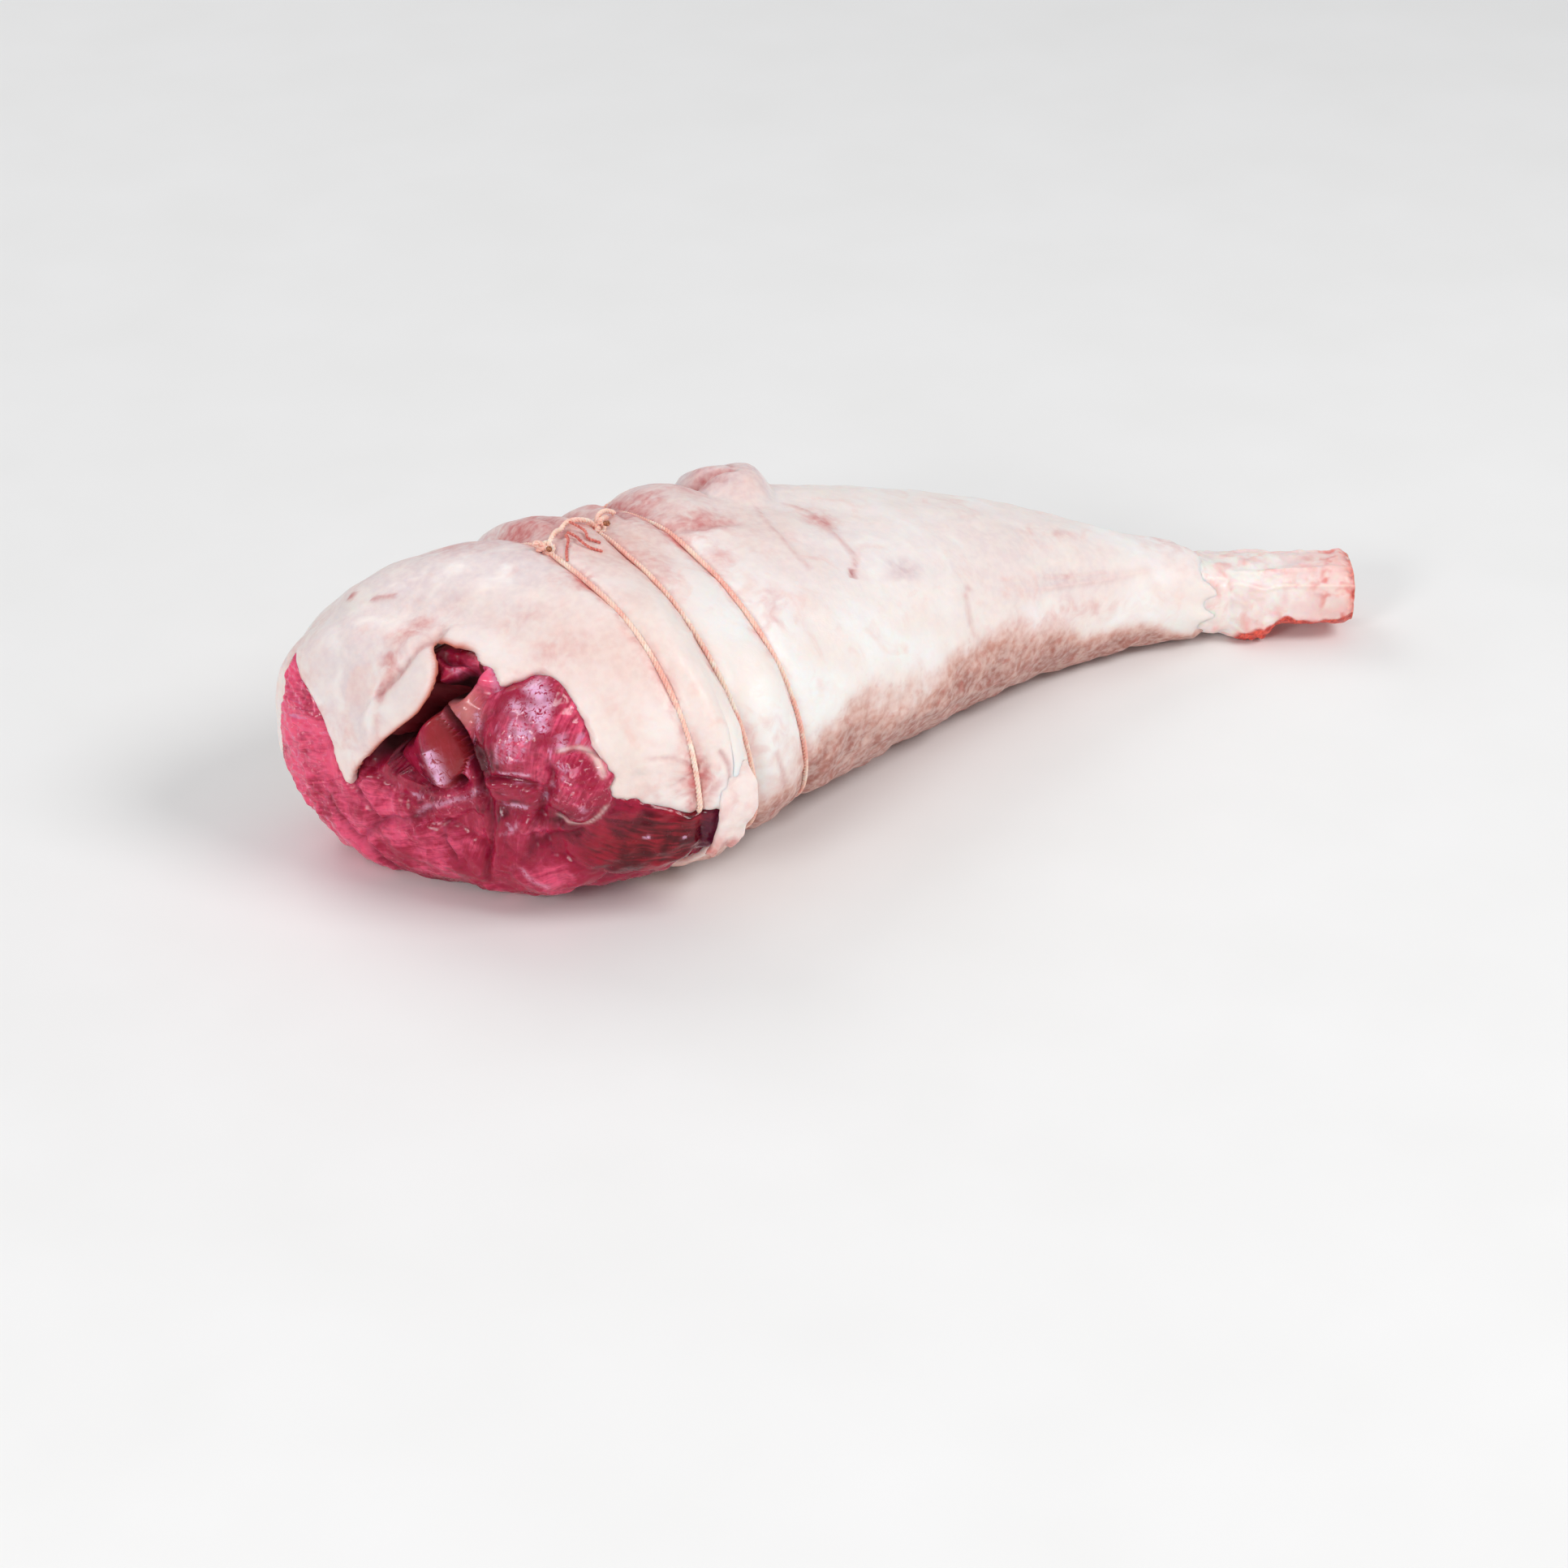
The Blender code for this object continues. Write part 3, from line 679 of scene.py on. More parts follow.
class Finish:
    """A material under construction: short names for the nodes that every finish here needs."""

    def __init__(self, name):
        self.material = bpy.data.materials.new(name)
        self.material.use_nodes = True
        self.tree = self.material.node_tree
        self.shader = self.tree.nodes["Principled BSDF"]
        self.place = self.add("TexCoord").outputs["Object"]

    def add(self, kind, inputs=None, **settings):
        return add_node(self.tree, "ShaderNode" + kind, inputs, **settings)

    def noise(self, size, detail=2.0, warp=0.0, stretch=None, place=None):
        """Noise with lumps of a size in millimetres; a stretch under 1 makes them longer along that axis."""
        place = place or self.place
        if stretch:
            place = self.add("Mapping", {"Vector": place, "Scale": stretch}).outputs["Vector"]
        inputs = {"Vector": place, "Scale": 1000 / size, "Detail": detail, "Distortion": warp}
        return self.add("TexNoise", inputs).outputs["Fac"]

    def mark(self, name):
        return self.add("Attribute", attribute_name=name).outputs["Fac"]

    def between(self, value, low, high):
        """0 below low, 1 above high, smooth between."""
        inputs = {"Value": value, "From Min": low, "From Max": high}
        return self.add("MapRange", inputs, interpolation_type="SMOOTHSTEP").outputs["Result"]

    def math(self, operation, first, second):
        return self.add("Math", {0: first, 1: second}, operation=operation).outputs[0]

    def plus(self, first, second):
        return self.math("ADD", first, second)

    def minus(self, first, second):
        return self.math("SUBTRACT", first, second)

    def times(self, first, second):
        return self.math("MULTIPLY", first, second)

    def mix(self, share, first, second):
        """The first colour where share is 0, the second where it is 1."""
        return self.add("Mix", {0: share, 6: first, 7: second}, data_type="RGBA").outputs[2]

    def bump(self, height, distance, strength=1.0, normal=None):
        inputs = {"Height": height, "Distance": distance * MM, "Strength": strength}
        if normal:
            inputs["Normal"] = normal
        return self.add("Bump", inputs).outputs["Normal"]

    def height(self, low, high):
        """0 below a height in millimetres and 1 above another."""
        up = self.add("SeparateXYZ", {"Vector": self.place}).outputs["Z"]
        return self.between(up, low * MM, high * MM)

    def wet(self, colour, roughness, normal, light_depth, coat, coat_roughness, reach=(1.0, 0.32, 0.2)):
        """Joins all to the shader, with light that travels light_depth millimetres under the surface."""
        return self.made({
            "Base Color": colour, "Roughness": roughness, "Normal": normal,
            "Subsurface Weight": 1.0, "Subsurface Radius": reach, "Subsurface Scale": light_depth * MM,
            "Coat Weight": coat, "Coat Roughness": coat_roughness, "Coat Normal": normal,
        })

    def made(self, settings):
        """Gives the shader its settings and hands over the finished material."""
        for key, value in settings.items():
            give(self.tree, self.shader.inputs[key], value)
        return self.material


# %% Finish: fat
def fat_finish():
    f = Finish("fat_white")
    broad, patch, fine = f.noise(34, 2, 0.4), f.noise(11, 3, 0.6), f.noise(2.6, 3)
    blotch = f.noise(7, 4, 0.9)
    colour = f.mix(f.between(broad, 0.35, 0.65), srgb(244, 232, 226), srgb(251, 245, 242))
    colour = f.mix(f.times(f.mark("rosy"), 0.42), colour, srgb(226, 174, 162))
    # Lilac-grey: partly a thin skin on the fat, partly painted shade on the top and towards the shank.
    veil = f.times(f.mark("veil"), f.between(patch, 0.2, 0.6))
    colour = f.mix(veil, colour, srgb(214, 190, 194))
    stray = f.times(f.between(f.noise(15, 4, 1.0), 0.54, 0.75), 0.36)
    colour = f.mix(stray, colour, srgb(238, 186, 176))
    flushed = f.plus(blotch, f.times(f.mark("blush"), 0.34))
    blush = f.times(f.mark("blush"), f.between(flushed, 0.44, 0.84))
    colour = f.mix(blush, colour, srgb(210, 112, 110))
    colour = f.mix(f.mark("line"), colour, srgb(196, 112, 112))
    # Redder and darker on the raw flank and underside, more towards the bottom: thin fat over meat, and
    # painted shade low on the flank.
    lumpy = f.minus(f.plus(f.noise(15, 2, 0.4), f.noise(6, 2, 0.3)), 1.0)
    low = f.minus(2.8, f.height(4, 46))
    thin_and_shaded = f.times(f.mark("raw"), f.plus(f.times(lumpy, 2.4), low))
    colour = f.mix(f.times(f.between(thin_and_shaded, 0.1, 1.4), 0.85), colour, srgb(208, 142, 122))
    colour = f.mix(f.times(f.between(thin_and_shaded, 0.9, 2.5), 0.8), colour, srgb(150, 72, 56))
    dots = f.times(f.mark("raw"), f.between(f.noise(3.6, 2), 0.56, 0.7))
    colour = f.mix(f.times(dots, 0.5), colour, srgb(196, 108, 98))
    colour = f.mix(f.times(f.between(fine, 0.3, 0.7), 0.35), colour, srgb(250, 236, 228))
    colour = f.mix(f.mark("cut"), colour, srgb(206, 104, 78))
    colour = f.mix(f.mark("inner"), colour, srgb(116, 20, 30))
    roughness = f.between(patch, -0.6, 1.5)
    normal = f.bump(f.noise(1.3, 3), 0.12, 0.5)
    normal = f.bump(f.noise(4.5, 3, 0.5), 0.35, 0.6, normal)
    normal = f.bump(f.times(thin_and_shaded, -1.0), 0.3, 0.3, normal)
    return f.wet(colour, roughness, normal, 1.3, 0.18, 0.25, (1.0, 0.6, 0.48))


# %% Finish: meat
def meat_finish():
    f = Finish("meat_red")
    fibre_place = f.add("Attribute", attribute_name="fibre").outputs["Vector"]
    fibre = f.noise(1000, 3, 0.4, (1 / 7, 1 / 0.9, 1 / 3), fibre_place)
    broad, patch = f.noise(13, 3, 0.6), f.noise(3.2, 3, 0.8)
    # The tone mark is the muscles' own lighter and darker colour, with painted light on the left strip and
    # painted shade along the creases and on the lower right.
    tone = f.plus(f.mark("tone"), f.times(f.minus(broad, 0.5), 2.2))
    tone = f.plus(tone, f.times(f.minus(fibre, 0.5), 1.1))
    tone = f.plus(tone, f.times(f.minus(patch, 0.5), 1.0))
    colour = f.mix(f.between(tone, -1.2, 0.0), srgb(86, 8, 26), srgb(169, 28, 66))
    colour = f.mix(f.between(tone, 0.0, 1.0), colour, srgb(241, 95, 134))
    varied = f.plus(broad, f.times(f.minus(fibre, 0.5), 0.6))
    brown = f.mix(f.between(varied, 0.32, 0.68), srgb(78, 3, 9), srgb(160, 20, 34))
    colour = f.mix(f.mark("brown"), colour, brown)
    colour = f.mix(f.mark("purple"), colour, srgb(92, 22, 52))
    colour = f.mix(f.mark("orange"), colour, srgb(160, 46, 46))
    dull = f.mix(f.between(broad, 0.3, 0.7), srgb(176, 84, 90), srgb(216, 142, 138))
    colour = f.mix(f.mark("dull"), colour, dull)
    # Painted glints: pale specks on the rough muscle.
    glint_specks = f.times(f.between(patch, 0.62, 0.74), f.mark("rough"))
    colour = f.mix(glint_specks, colour, srgb(236, 150, 176))
    grainy = f.times(f.between(f.noise(1.4, 2, 0.4), 0.6, 0.72), f.mark("rough"))
    colour = f.mix(f.times(grainy, 0.7), colour, srgb(240, 150, 170))
    # Painted highlight: pale streaks along the fibres, only on the upper face.
    streak = f.noise(1000, 4, 0.8, (1 / 9, 1 / 1.6, 1 / 3), fibre_place)
    streak_highlight = f.times(f.between(streak, 0.56, 0.7), f.between(f.noise(7, 3, 1.0), 0.48, 0.62))
    streak_highlight = f.times(f.times(streak_highlight, f.height(28, 60)), f.mark("streaky"))
    colour = f.mix(streak_highlight, colour, srgb(222, 140, 176))
    # Lilac-white membrane with painted wet highlights.
    film = f.times(f.mark("film"), f.between(f.noise(1.8, 4, 1.6), 0.34, 0.52))
    colour = f.mix(film, colour, srgb(236, 190, 220))
    colour = f.mix(f.mark("sinew"), colour, srgb(240, 206, 202))
    # Painted shade: near black in the slots and pockets, darker along the creases.
    colour = f.mix(f.mark("deep"), colour, srgb(54, 5, 10))
    normal = f.bump(fibre, 0.13, 0.35)
    normal = f.bump(f.noise(1.7, 3, 0.5), 0.2, 0.5, normal)
    normal = f.bump(f.times(patch, f.mark("rough")), 0.5, 0.6, normal)
    f.shader.inputs["Specular IOR Level"].default_value = 0.22
    roughness = f.plus(f.between(f.noise(3, 3), -0.1, 2.0), f.times(f.mark("deep"), 0.7))
    open_up = f.minus(1.0, f.mark("deep"))
    coat = f.times(f.plus(f.times(f.height(16, 54), 0.31), 0.05), open_up)
    return f.wet(colour, roughness, normal, 0.8, coat, 0.08)


FAT, MEAT = fat_finish(), meat_finish()
print("finishes:", FAT.name, MEAT.name)

# %% [markdown]
# ## Where the fat is white, lilac, pink or raw
# Fat isn't one colour. A thin skin over it, with painted shade, makes it lilac-grey on the top and
# towards the shank, blood stains it pink along the strings and in the folds, and where the coat is thin
# the red meat shows through, with painted shade making it darker towards the bottom of the flank.

# %% Colour marks of the fat
# Lilac-grey spots: a thin skin on the fat, and painted shade on the top and towards the shank.
LILAC_SKIN_AND_SHADE = (  # lilac skin: place along, angle, half length, half spread, strength
    (14, 68, 34, 34, 0.65), (143, 54, 14, 16, 1.0), (106, 52, 12, 16, 0.8), (150, 112, 60, 34, 0.35),
    (215, 120, 60, 45, 0.4), (128, 55, 26, 30, 0.9), (75, 50, 60, 36, 0.6), (285, 120, 30, 60, 0.25),
    (150, 340, 120, 40, 0.5), (164, 128, 9, 8, 0.9), (40, 66, 16, 14, 1.0), (30, 84, 22, 16, 0.7),
    (230, 150, 45, 16, 0.5),
)
BLUSHES = (  # pink stains
    (2, 34, 8, 18, 0.35), (2, 84, 8, 4, 0.45), (10, 100, 8, 6, 0.3), (103, 130, 8, 12, 0.45),
    (97, 105, 5, 10, 0.5), (143, 56, 17, 15, 0.55), (124, 60, 6, 8, 0.55), (147, 96, 7, 6, 0.9),
    (52, 64, 10, 24, 1.0), (36, 60, 10, 16, 0.6), (66, 54, 12, 28, 1.0), (88, 58, 13, 28, 1.0),
    (97, 66, 8, 10, 0.8), (100, 90, 16, 8, 0.8), (60, 76, 8, 7, 0.8), (80, 70, 8, 8, 0.8),
    (112, 60, 8, 16, 0.8), (236, 147, 4, 4, 0.6), (238, 112, 14, 6, 0.4), (60, 20, 70, 24, 0.5),
    (200, 30, 70, 24, 0.45), (20, 176, 12, 9, 0.7), (237, 172, 34, 12, 0.4), (208, 172, 14, 10, 0.4),
    (111, 164, 5, 5, 0.3), (82, 170, 8, 8, 0.5), (37, 99, 10, 5, 0.5), (73, 102, 6, 10, 0.5),
    (7, 116, 9, 6, 0.4), (140, 270, 120, 40, 0.5), (290, 60, 14, 60, 0.5),
)
ROSY = (  # warm, rosy fat
    (15, 125, 28, 30, 1.0), (131, 75, 10, 9, 1.4), (42, 110, 12, 10, 1.1), (12, 168, 22, 20, 0.7),
    (28, 150, 20, 24, 0.5), (8, 85, 20, 24, 0.3), (64, 86, 22, 24, 2.0), (88, 60, 40, 26, 1.5),
    (118, 95, 22, 26, 0.8), (100, 330, 120, 50, 0.6), (60, 270, 70, 40, 0.6),
)


def spots_of(grid, spots):
    """Soft spots: place along, angle, half length, half spread, strength."""
    total = np.zeros_like(grid.along)
    for place, angle, length, spread, strength in spots:
        away = np.hypot((grid.along - place) / length, angle_between(grid.degrees, angle) / spread)
        total = np.maximum(total, strength * hump(away, 1.0))
    return total


string_near = sum(hump(past_string(fat_grid.base, name) + 1.0, 3.2) for name in STRINGS)
upper_far = hump(angle_between(fat_grid.degrees, 60) / 26, 1.0, 3)
to_arc = distance_to(PINK_ARC, fat_grid.map)[0]
blush = spots_of(fat_grid, BLUSHES) + 0.55 * string_near + 0.3 * hump(to_crease, 2.4) * (to_free > 1.5)
blush = blush + 0.3 * hump(to_arc, 2.6)
edge_cut = hump(side + 0.3, 1.1) * (0.1 + 0.9 * near_free) * (side > -2.5)
fat_grid.marks = {
    "veil": spots_of(fat_grid, LILAC_SKIN_AND_SHADE),
    "rosy": np.maximum(spots_of(fat_grid, ROSY), 0.7 * hump(to_free, 6) * (side > -1)),
    "blush": np.clip(blush, 0, 1),
    "line": np.clip(line_stain + 0.45 * string_near * upper_far + 0.5 * hump(to_crease, 1.3), 0, 1),
    "raw": np.clip(0.9 * raw, 0, 1),
    "cut": np.clip(edge_cut, 0, 1),
    "inner": ease(-(side + 0.8) / 1.2),
}
fat_cover = closed_rings("fat_cover", to_frame(fat_grid.shape), FAT, fat_grid.marks)
finished(fat_cover, "fat", "leg")

# %% Colour marks of the meat
# Tones: the muscles' own colour, with painted light on the left strip and painted shade along creases and low
# on the right.
TONES_AND_PAINTED_LIGHT = (  # place on the map, half sizes, and tone from dark (-1) to bright (1)
    (-42, 42, 15, 40, 1.0), (-25, 12, 16, 12, 0.8), (5, 19, 24, 9, 0.4), (24, 31, 9, 9, 0.25),
    (41, 31, 9, 14, -0.3), (53, 16, 12, 7, 0.6), (82, 26, 20, 12, -0.9), (76, 44, 12, 5, -0.4),
    (65, 53, 9, 10, 0.3), (45, 79, 12, 6, 0.2), (47, 68, 8, 8, 0.6), (37, 60, 4, 9, -1.0),
    (58, 73, 7, 7, 0.6), (6, 50, 9, 8, -0.35), (45, 48, 10, 4, 0.2), (33, 60, 3, 5, -1.8),
    (50, 38, 5, 5, 0.5), (41, 53, 4, 3, 0.4), (51, 50, 4, 3, -0.4), (38, 44, 5, 4, -0.6),
    (30, 20, 5, 7, -0.5), (12, 26, 9, 4, 0.5), (58, 44, 4, 4, -1.0), (24, 74, 7, 6, 0.1),
    (108, 20, 16, 16, -1.0), (31.5, 85, 7, 5, 1.0), (21.5, 85, 6, 3, 0.5), (-6, 33, 10, 7, 0.5),
    (12, 33, 10, 4, 0.1),
)
# Lilac-white films: a thin membrane, and painted wet highlights and glints on the lobes and the tongue's
# ridge.
FILMS_AND_HIGHLIGHTS = (  # places on the map, half width, strength
    (((42.7, 83.4), (46.8, 81.6), (50.6, 78.4), (52.6, 74.6), (53, 70.6)), 1.6, 1.2),
    (((40.5, 77.2), (45, 77), (49.8, 76.2), (52, 74)), 1.8, 1.2),
    (((43, 72), (46.6, 71), (49.6, 68.2)), 3.0, 1.1), (((40.6, 69.9), (40.5, 59.5)), 0.6, 0.7),
    (((42.4, 69), (42.7, 60.5)), 0.5, 0.6), (((44.2, 69.8), (44.6, 61)), 0.8, 0.9),
    (((46.2, 68), (47, 62)), 0.6, 0.7), (((48.6, 67), (48.8, 62.4)), 0.6, 0.6),
    (((40.2, 56.4), (45.9, 57.4), (51.5, 57.8)), 0.6, 1.0),
    (((30, 87), (33.5, 84), (35.5, 80.6)), 1.2, 0.7), (((17, 84.4), (22, 84)), 0.8, 0.5),
    (((30.5, 73.8), (32.5, 68.5)), 1.0, 0.7), (((57.4, 71), (58.6, 68.4), (60, 65.8)), 1.5, 0.85),
    (((58.4, 61.6), (62, 60.8)), 1.0, 0.8), (((60.6, 58.6), (62, 57.2)), 0.9, 0.7),
    (((56.6, 54.6), (58.5, 54.2)), 0.8, 0.7), (((55.6, 51), (55.4, 47.6)), 1.0, 0.7),
    (((66, 49.6), (67.4, 47)), 0.8, 0.6), (((41.1, 44.5), (50.5, 45.8)), 0.8, 0.8),
    (((39.8, 33.3), (44.6, 35.8), (47, 40)), 0.5, 0.6), (((44.6, 35.8), (43, 38.6)), 0.5, 0.6),
    (((8.3, 31), (13.7, 36.2), (19.4, 39.6), (24.4, 42.3), (30.5, 45.6), (34, 49.7)), 0.9, 0.6),
    (((6.8, 38.1), (12, 39)), 0.7, 0.8), (((15, 58), (17.6, 53.8), (21.2, 47)), 2.4, 1.1),
    (((9, 45), (14, 44.6), (18, 45.4)), 0.7, 0.7), (((10, 50.5), (13, 50.8)), 0.6, 0.6),
    (((80.5, 33.8), (81.6, 33)), 0.6, 1.0), (((89.2, 28), (90.4, 27)), 0.6, 1.0),
    (((45.5, 21.5), (49, 17), (54, 14.5)), 1.2, 0.5), (((-30, 18), (-20, 10)), 0.8, 0.4),
)
SINEWS = (
    (((57.9, 65.6), (61.9, 66.8), (66.2, 65.5), (69.4, 61.6), (71.5, 57)), 0.8, 1.0),
    (((57.9, 42.7), (63.2, 41.2), (67.9, 42.2), (70.8, 45.3), (72.5, 49)), 0.5, 0.8),
    (((19, 89.4), (27, 87.6)), 0.5, 0.5), (((-33, -4), (-12, -12), (8, -16)), 0.6, 0.6),
)


def marked(lines, spots, points):
    """Broken streaks along lines drawn on the map."""
    total, broken = np.zeros(spots.shape[:-1]), 0.75 + 0.45 * lumps(points, 3, 41)
    for places, width, strength in lines:
        away, passed, _ = distance_to(through(places), spots)
        faded = ease(passed * 8 + 0.2) * ease((1 - passed) * 8 + 0.2)
        total = np.maximum(total, strength * hump(away, width) * faded)
    return np.clip(total * broken, 0, 1)


weight, tone = np.full_like(meat.along, 0.25), np.zeros_like(meat.along)
for u, v, half_u, half_v, value in TONES_AND_PAINTED_LIGHT:
    share = hump(np.hypot((meat.map[..., 0] - u) / half_u, (meat.map[..., 1] - v) / half_v), 1.1)
    weight, tone = weight + share, tone + share * value
open_face = 1 - np.clip(deep / 3, 0, 1)
ridge_away, _, ridge_side = distance_to(TONGUE_RIDGE, meat.map)
turned = np.radians(fibres)
u, v = meat.map[..., 0], meat.map[..., 1]
with_fibre, across_fibre = np.cos(turned) * u + np.sin(turned) * v, np.cos(turned) * v - np.sin(turned) * u
meat.marks = {
    # The deep mark is painted shade in the slots, pockets and creases.
    "tone": tone / weight,
    "deep": recess_shade,
    "rough": np.clip(rough, 0, 1),
    "film": marked(FILMS_AND_HIGHLIGHTS, meat.map, meat.base) * open_face,
    "sinew": marked(SINEWS, meat.map, meat.base),
    # Where the painted highlight streaks may show.
    "streaky": (1 - 0.9 * in_tongue) * open_face * (1 - hump(lobe_distance(meat.map, LOBES[3]), 1.0, 4)),
    "orange": 0.75 * in_tongue * (ridge_side > 0) * ease(ridge_away / 3),
    "dull": 0.85 * hump(lobe_distance(meat.map, LOBES[1]), 0.9, 4),
    "brown": 0.8 * np.clip(hump(lobe_distance(meat.map, LOBES[3]), 0.78, 4), 0, 1),
    "purple": hump(lobe_distance(meat.map, LOBES[4]), 1.1, 4) * 0.9,
    "fibre": np.stack([with_fibre, across_fibre, fibres], axis=-1),
}
cut_meat = closed_rings("cut_meat", to_frame(meat.shape), MEAT, meat.marks)
finished(cut_meat, "meat", "leg")

# %% [markdown]
# ## The shank's knuckle
# Past the meat the bone comes out: a squarish knuckle in a thin membrane, with a foot that hangs to the
# table, a step up to the sawn heel, and the saw cut across its end. It is lofted through sections like
# the leg, but along a line that turns a little, and it starts inside the meat, so that the fat can end
# raggedly over it.

# %% Knuckle: shape
KNUCKLE_START, KNUCKLE_END = np.array((304.4, -3.5)), np.array((350, -27.5))
KNUCKLE_TURN_LENGTH, KNUCKLE_POWER = 22, 3.2
KNUCKLE_SECTIONS = np.array((  # distance, half width, top, underside
    (-16, 15.0, 29.0, 2.0), (0, 15.0, 29.0, 2.0), (3, 15.5, 28.5, 0.6), (8, 15.5, 28, 0.3),
    (19, 15.0, 27, 0.5), (21.5, 14.0, 27, 2.5), (24, 13.2, 27, 5.0), (36, 12.6, 27, 5.2),
    (47, 13.6, 27.6, 5.4), (51.5, 13.2, 27.2, 5.8),
))
TENDONS = (  # turn, drift along the bone, width, height
    (2.45, 0.004, 0.10, 0.9), (1.95, -0.003, 0.08, 0.7), (0.9, 0, 0.10, 0.8),
)


def knuckle_rings(turns=180, spacing=0.7, end_rings=16):
    run = (KNUCKLE_END - KNUCKLE_START) / np.linalg.norm(KNUCKLE_END - KNUCKLE_START)
    heading = math.atan2(run[1], run[0])
    first, last = KNUCKLE_SECTIONS[0, 0], KNUCKLE_SECTIONS[-1, 0]
    distances = np.linspace(first, last, round((last - first) / spacing))
    rows = [(d, 1.0) for d in distances] + [(last, 1 - (i / end_rings)) for i in range(1, end_rings)]
    distance = np.array([row[0] for row in rows])[:, None] + np.zeros(turns)
    share = np.array([row[1] for row in rows])[:, None] + np.zeros(turns)
    turn = np.zeros_like(distance) + np.arange(turns) * 2 * np.pi / turns
    places, *columns = KNUCKLE_SECTIONS.T
    half_width, top, under = (np.interp(distance, places, column) for column in columns)
    middle, leg_width, leg_top, _ = station(KNUCKLE_START[0] + distance)
    sleeve = ease(-distance / 9)
    half_width = half_width + sleeve * (leg_width - 0.6 - half_width)
    top = top + sleeve * (leg_top - 0.6 - top)
    shifted = sleeve * (middle - KNUCKLE_START[1])
    power = 2.2 + (KNUCKLE_POWER - 2.2) * ease((distance + 8) / 14)
    corner = 1 - 0.10 * ease((distance - 48.5) / 3) * (share >= 1)
    across = half_width * share * corner * signed_power(np.cos(turn), 2 / power)
    upward = (top - under) / 2 * share * corner * signed_power(np.sin(turn), 2 / power)
    facing = heading * ease(distance / KNUCKLE_TURN_LENGTH)
    line = np.where(distance < 0, 0, distance)
    x = KNUCKLE_START[0] + run[0] * line + np.minimum(distance, 0) - np.sin(facing) * across
    y = KNUCKLE_START[1] + run[1] * line + np.cos(facing) * across + shifted
    rings = np.stack([x, y, (top + under) / 2 + upward], axis=-1)
    return rings, distance, share, turn, np.array((run[0], run[1], 0))


rings, distance, share, turn, bone_run = knuckle_rings()
knuckle = Surface(rings)
bumps = 0.7 * lumps(rings, 9, 31) + 0.35 * lumps(rings, 4, 32) + 0.14 * lumps(rings, 1.8, 33)
tendon = sum(high * hump(turn - angle - drift * distance, width) for angle, drift, width, high in TENDONS)
foot_rag = hump((distance - 15) / 8, 1.0, 4) * ease((-np.sin(turn) - 0.3) / 0.5)
on_end = 1 - share
from_middle = np.linalg.norm(rings - rings[-1].mean(axis=0), axis=-1) + 0.5 * lumps(rings, 5, 38)
marrow = ease((5.4 - from_middle) / 0.8) * (on_end > 0)
shell = hump(from_middle - 7.2, 1.5, 4) * (on_end > 0)
end_relief = (0.25 * lumps(rings, 2.0, 34) - 1.4 * marrow + 0.4 * shell) * ease(on_end / 0.12)
amount = np.where(share >= 1, bumps + tendon * ease(distance / 8) + foot_rag * 1.2 * lumps(rings, 2.6, 35), 0)
knuckle.push(amount)
knuckle.shape = knuckle.shape + bone_run * end_relief[..., None]
knuckle.shape[..., 2] = np.maximum(knuckle.shape[..., 2], 0.1)
lowest, highest = knuckle.shape[..., 2].min(axis=1)[:, None], knuckle.shape[..., 2].max(axis=1)[:, None]
height_share = (knuckle.shape[..., 2] - lowest) / (highest - lowest + 0.01)
under = ease((0.27 - height_share + 0.06 * lumps(rings, 5, 36)) / 0.07) * ease((distance - 2) / 5)
end_rim = hump(distance - 51.5, 2.6, 2) * (share >= 1) * ease(lumps(rings, 3.2, 37) + 0.75)
bone_marks = {
    "red": np.clip(under + 0.7 * end_rim + foot_rag, 0, 1),
    "spotted": ease((distance - 26) / 22) * (share >= 1),
    "sawn": (on_end > 0) * 1.0,
    "marrow": marrow,
    "ring": shell,
}


def bone_finish():
    f = Finish("bone_pale")
    patch, fine = f.noise(9, 2, 0.4), f.noise(2.2, 4, 1.0)
    colour = f.mix(f.between(patch, 0.35, 0.65), srgb(244, 218, 214), srgb(252, 238, 232))
    colour = f.mix(f.times(f.between(f.noise(8, 3, 0.5), 0.48, 0.72), 0.55), colour, srgb(238, 160, 154))
    spots = f.times(f.between(f.noise(6, 2, 0.2), 0.46, 0.72), f.mark("spotted"))
    colour = f.mix(f.times(f.mark("spotted"), 0.3), colour, srgb(240, 170, 158))
    colour = f.mix(f.times(spots, 0.85), colour, srgb(228, 98, 90))
    grained = f.between(fine, 0.3, 0.7)
    colour = f.mix(f.mark("red"), colour, f.mix(grained, srgb(176, 30, 24), srgb(240, 96, 72)))
    colour = f.mix(f.mark("sawn"), colour, f.mix(grained, srgb(214, 110, 104), srgb(236, 178, 166)))
    colour = f.mix(f.mark("ring"), colour, srgb(246, 230, 210))
    colour = f.mix(f.mark("marrow"), colour, srgb(150, 40, 38))
    normal = f.bump(fine, 0.25, 0.5)
    return f.wet(colour, f.between(fine, -0.8, 1.9), normal, 2.2, 0.3, 0.2)


BONE = bone_finish()
shank_knuckle = closed_rings("shank_knuckle", to_frame(knuckle.shape), BONE, bone_marks)
finished(shank_knuckle, "bone", "shank_bone")

# %% [markdown]
# ## Twine
# Butcher's string is three soft plies twisted together, drawn tight and stained by the meat. Its path is
# found by looking in at the leg from all round, in the string's plane: a taut cord bridges dips, so the
# path is smoothed and only ever pushed outwards. Geometry Nodes then lay three twisted plies along any
# such path.


# %% Twine: the tree that lays plies along a path
PLY_APART = 1.02  # how far a ply's middle lies from the string's, in ply radii
PLY_STEP = 0.4  # distance between the rings of a ply


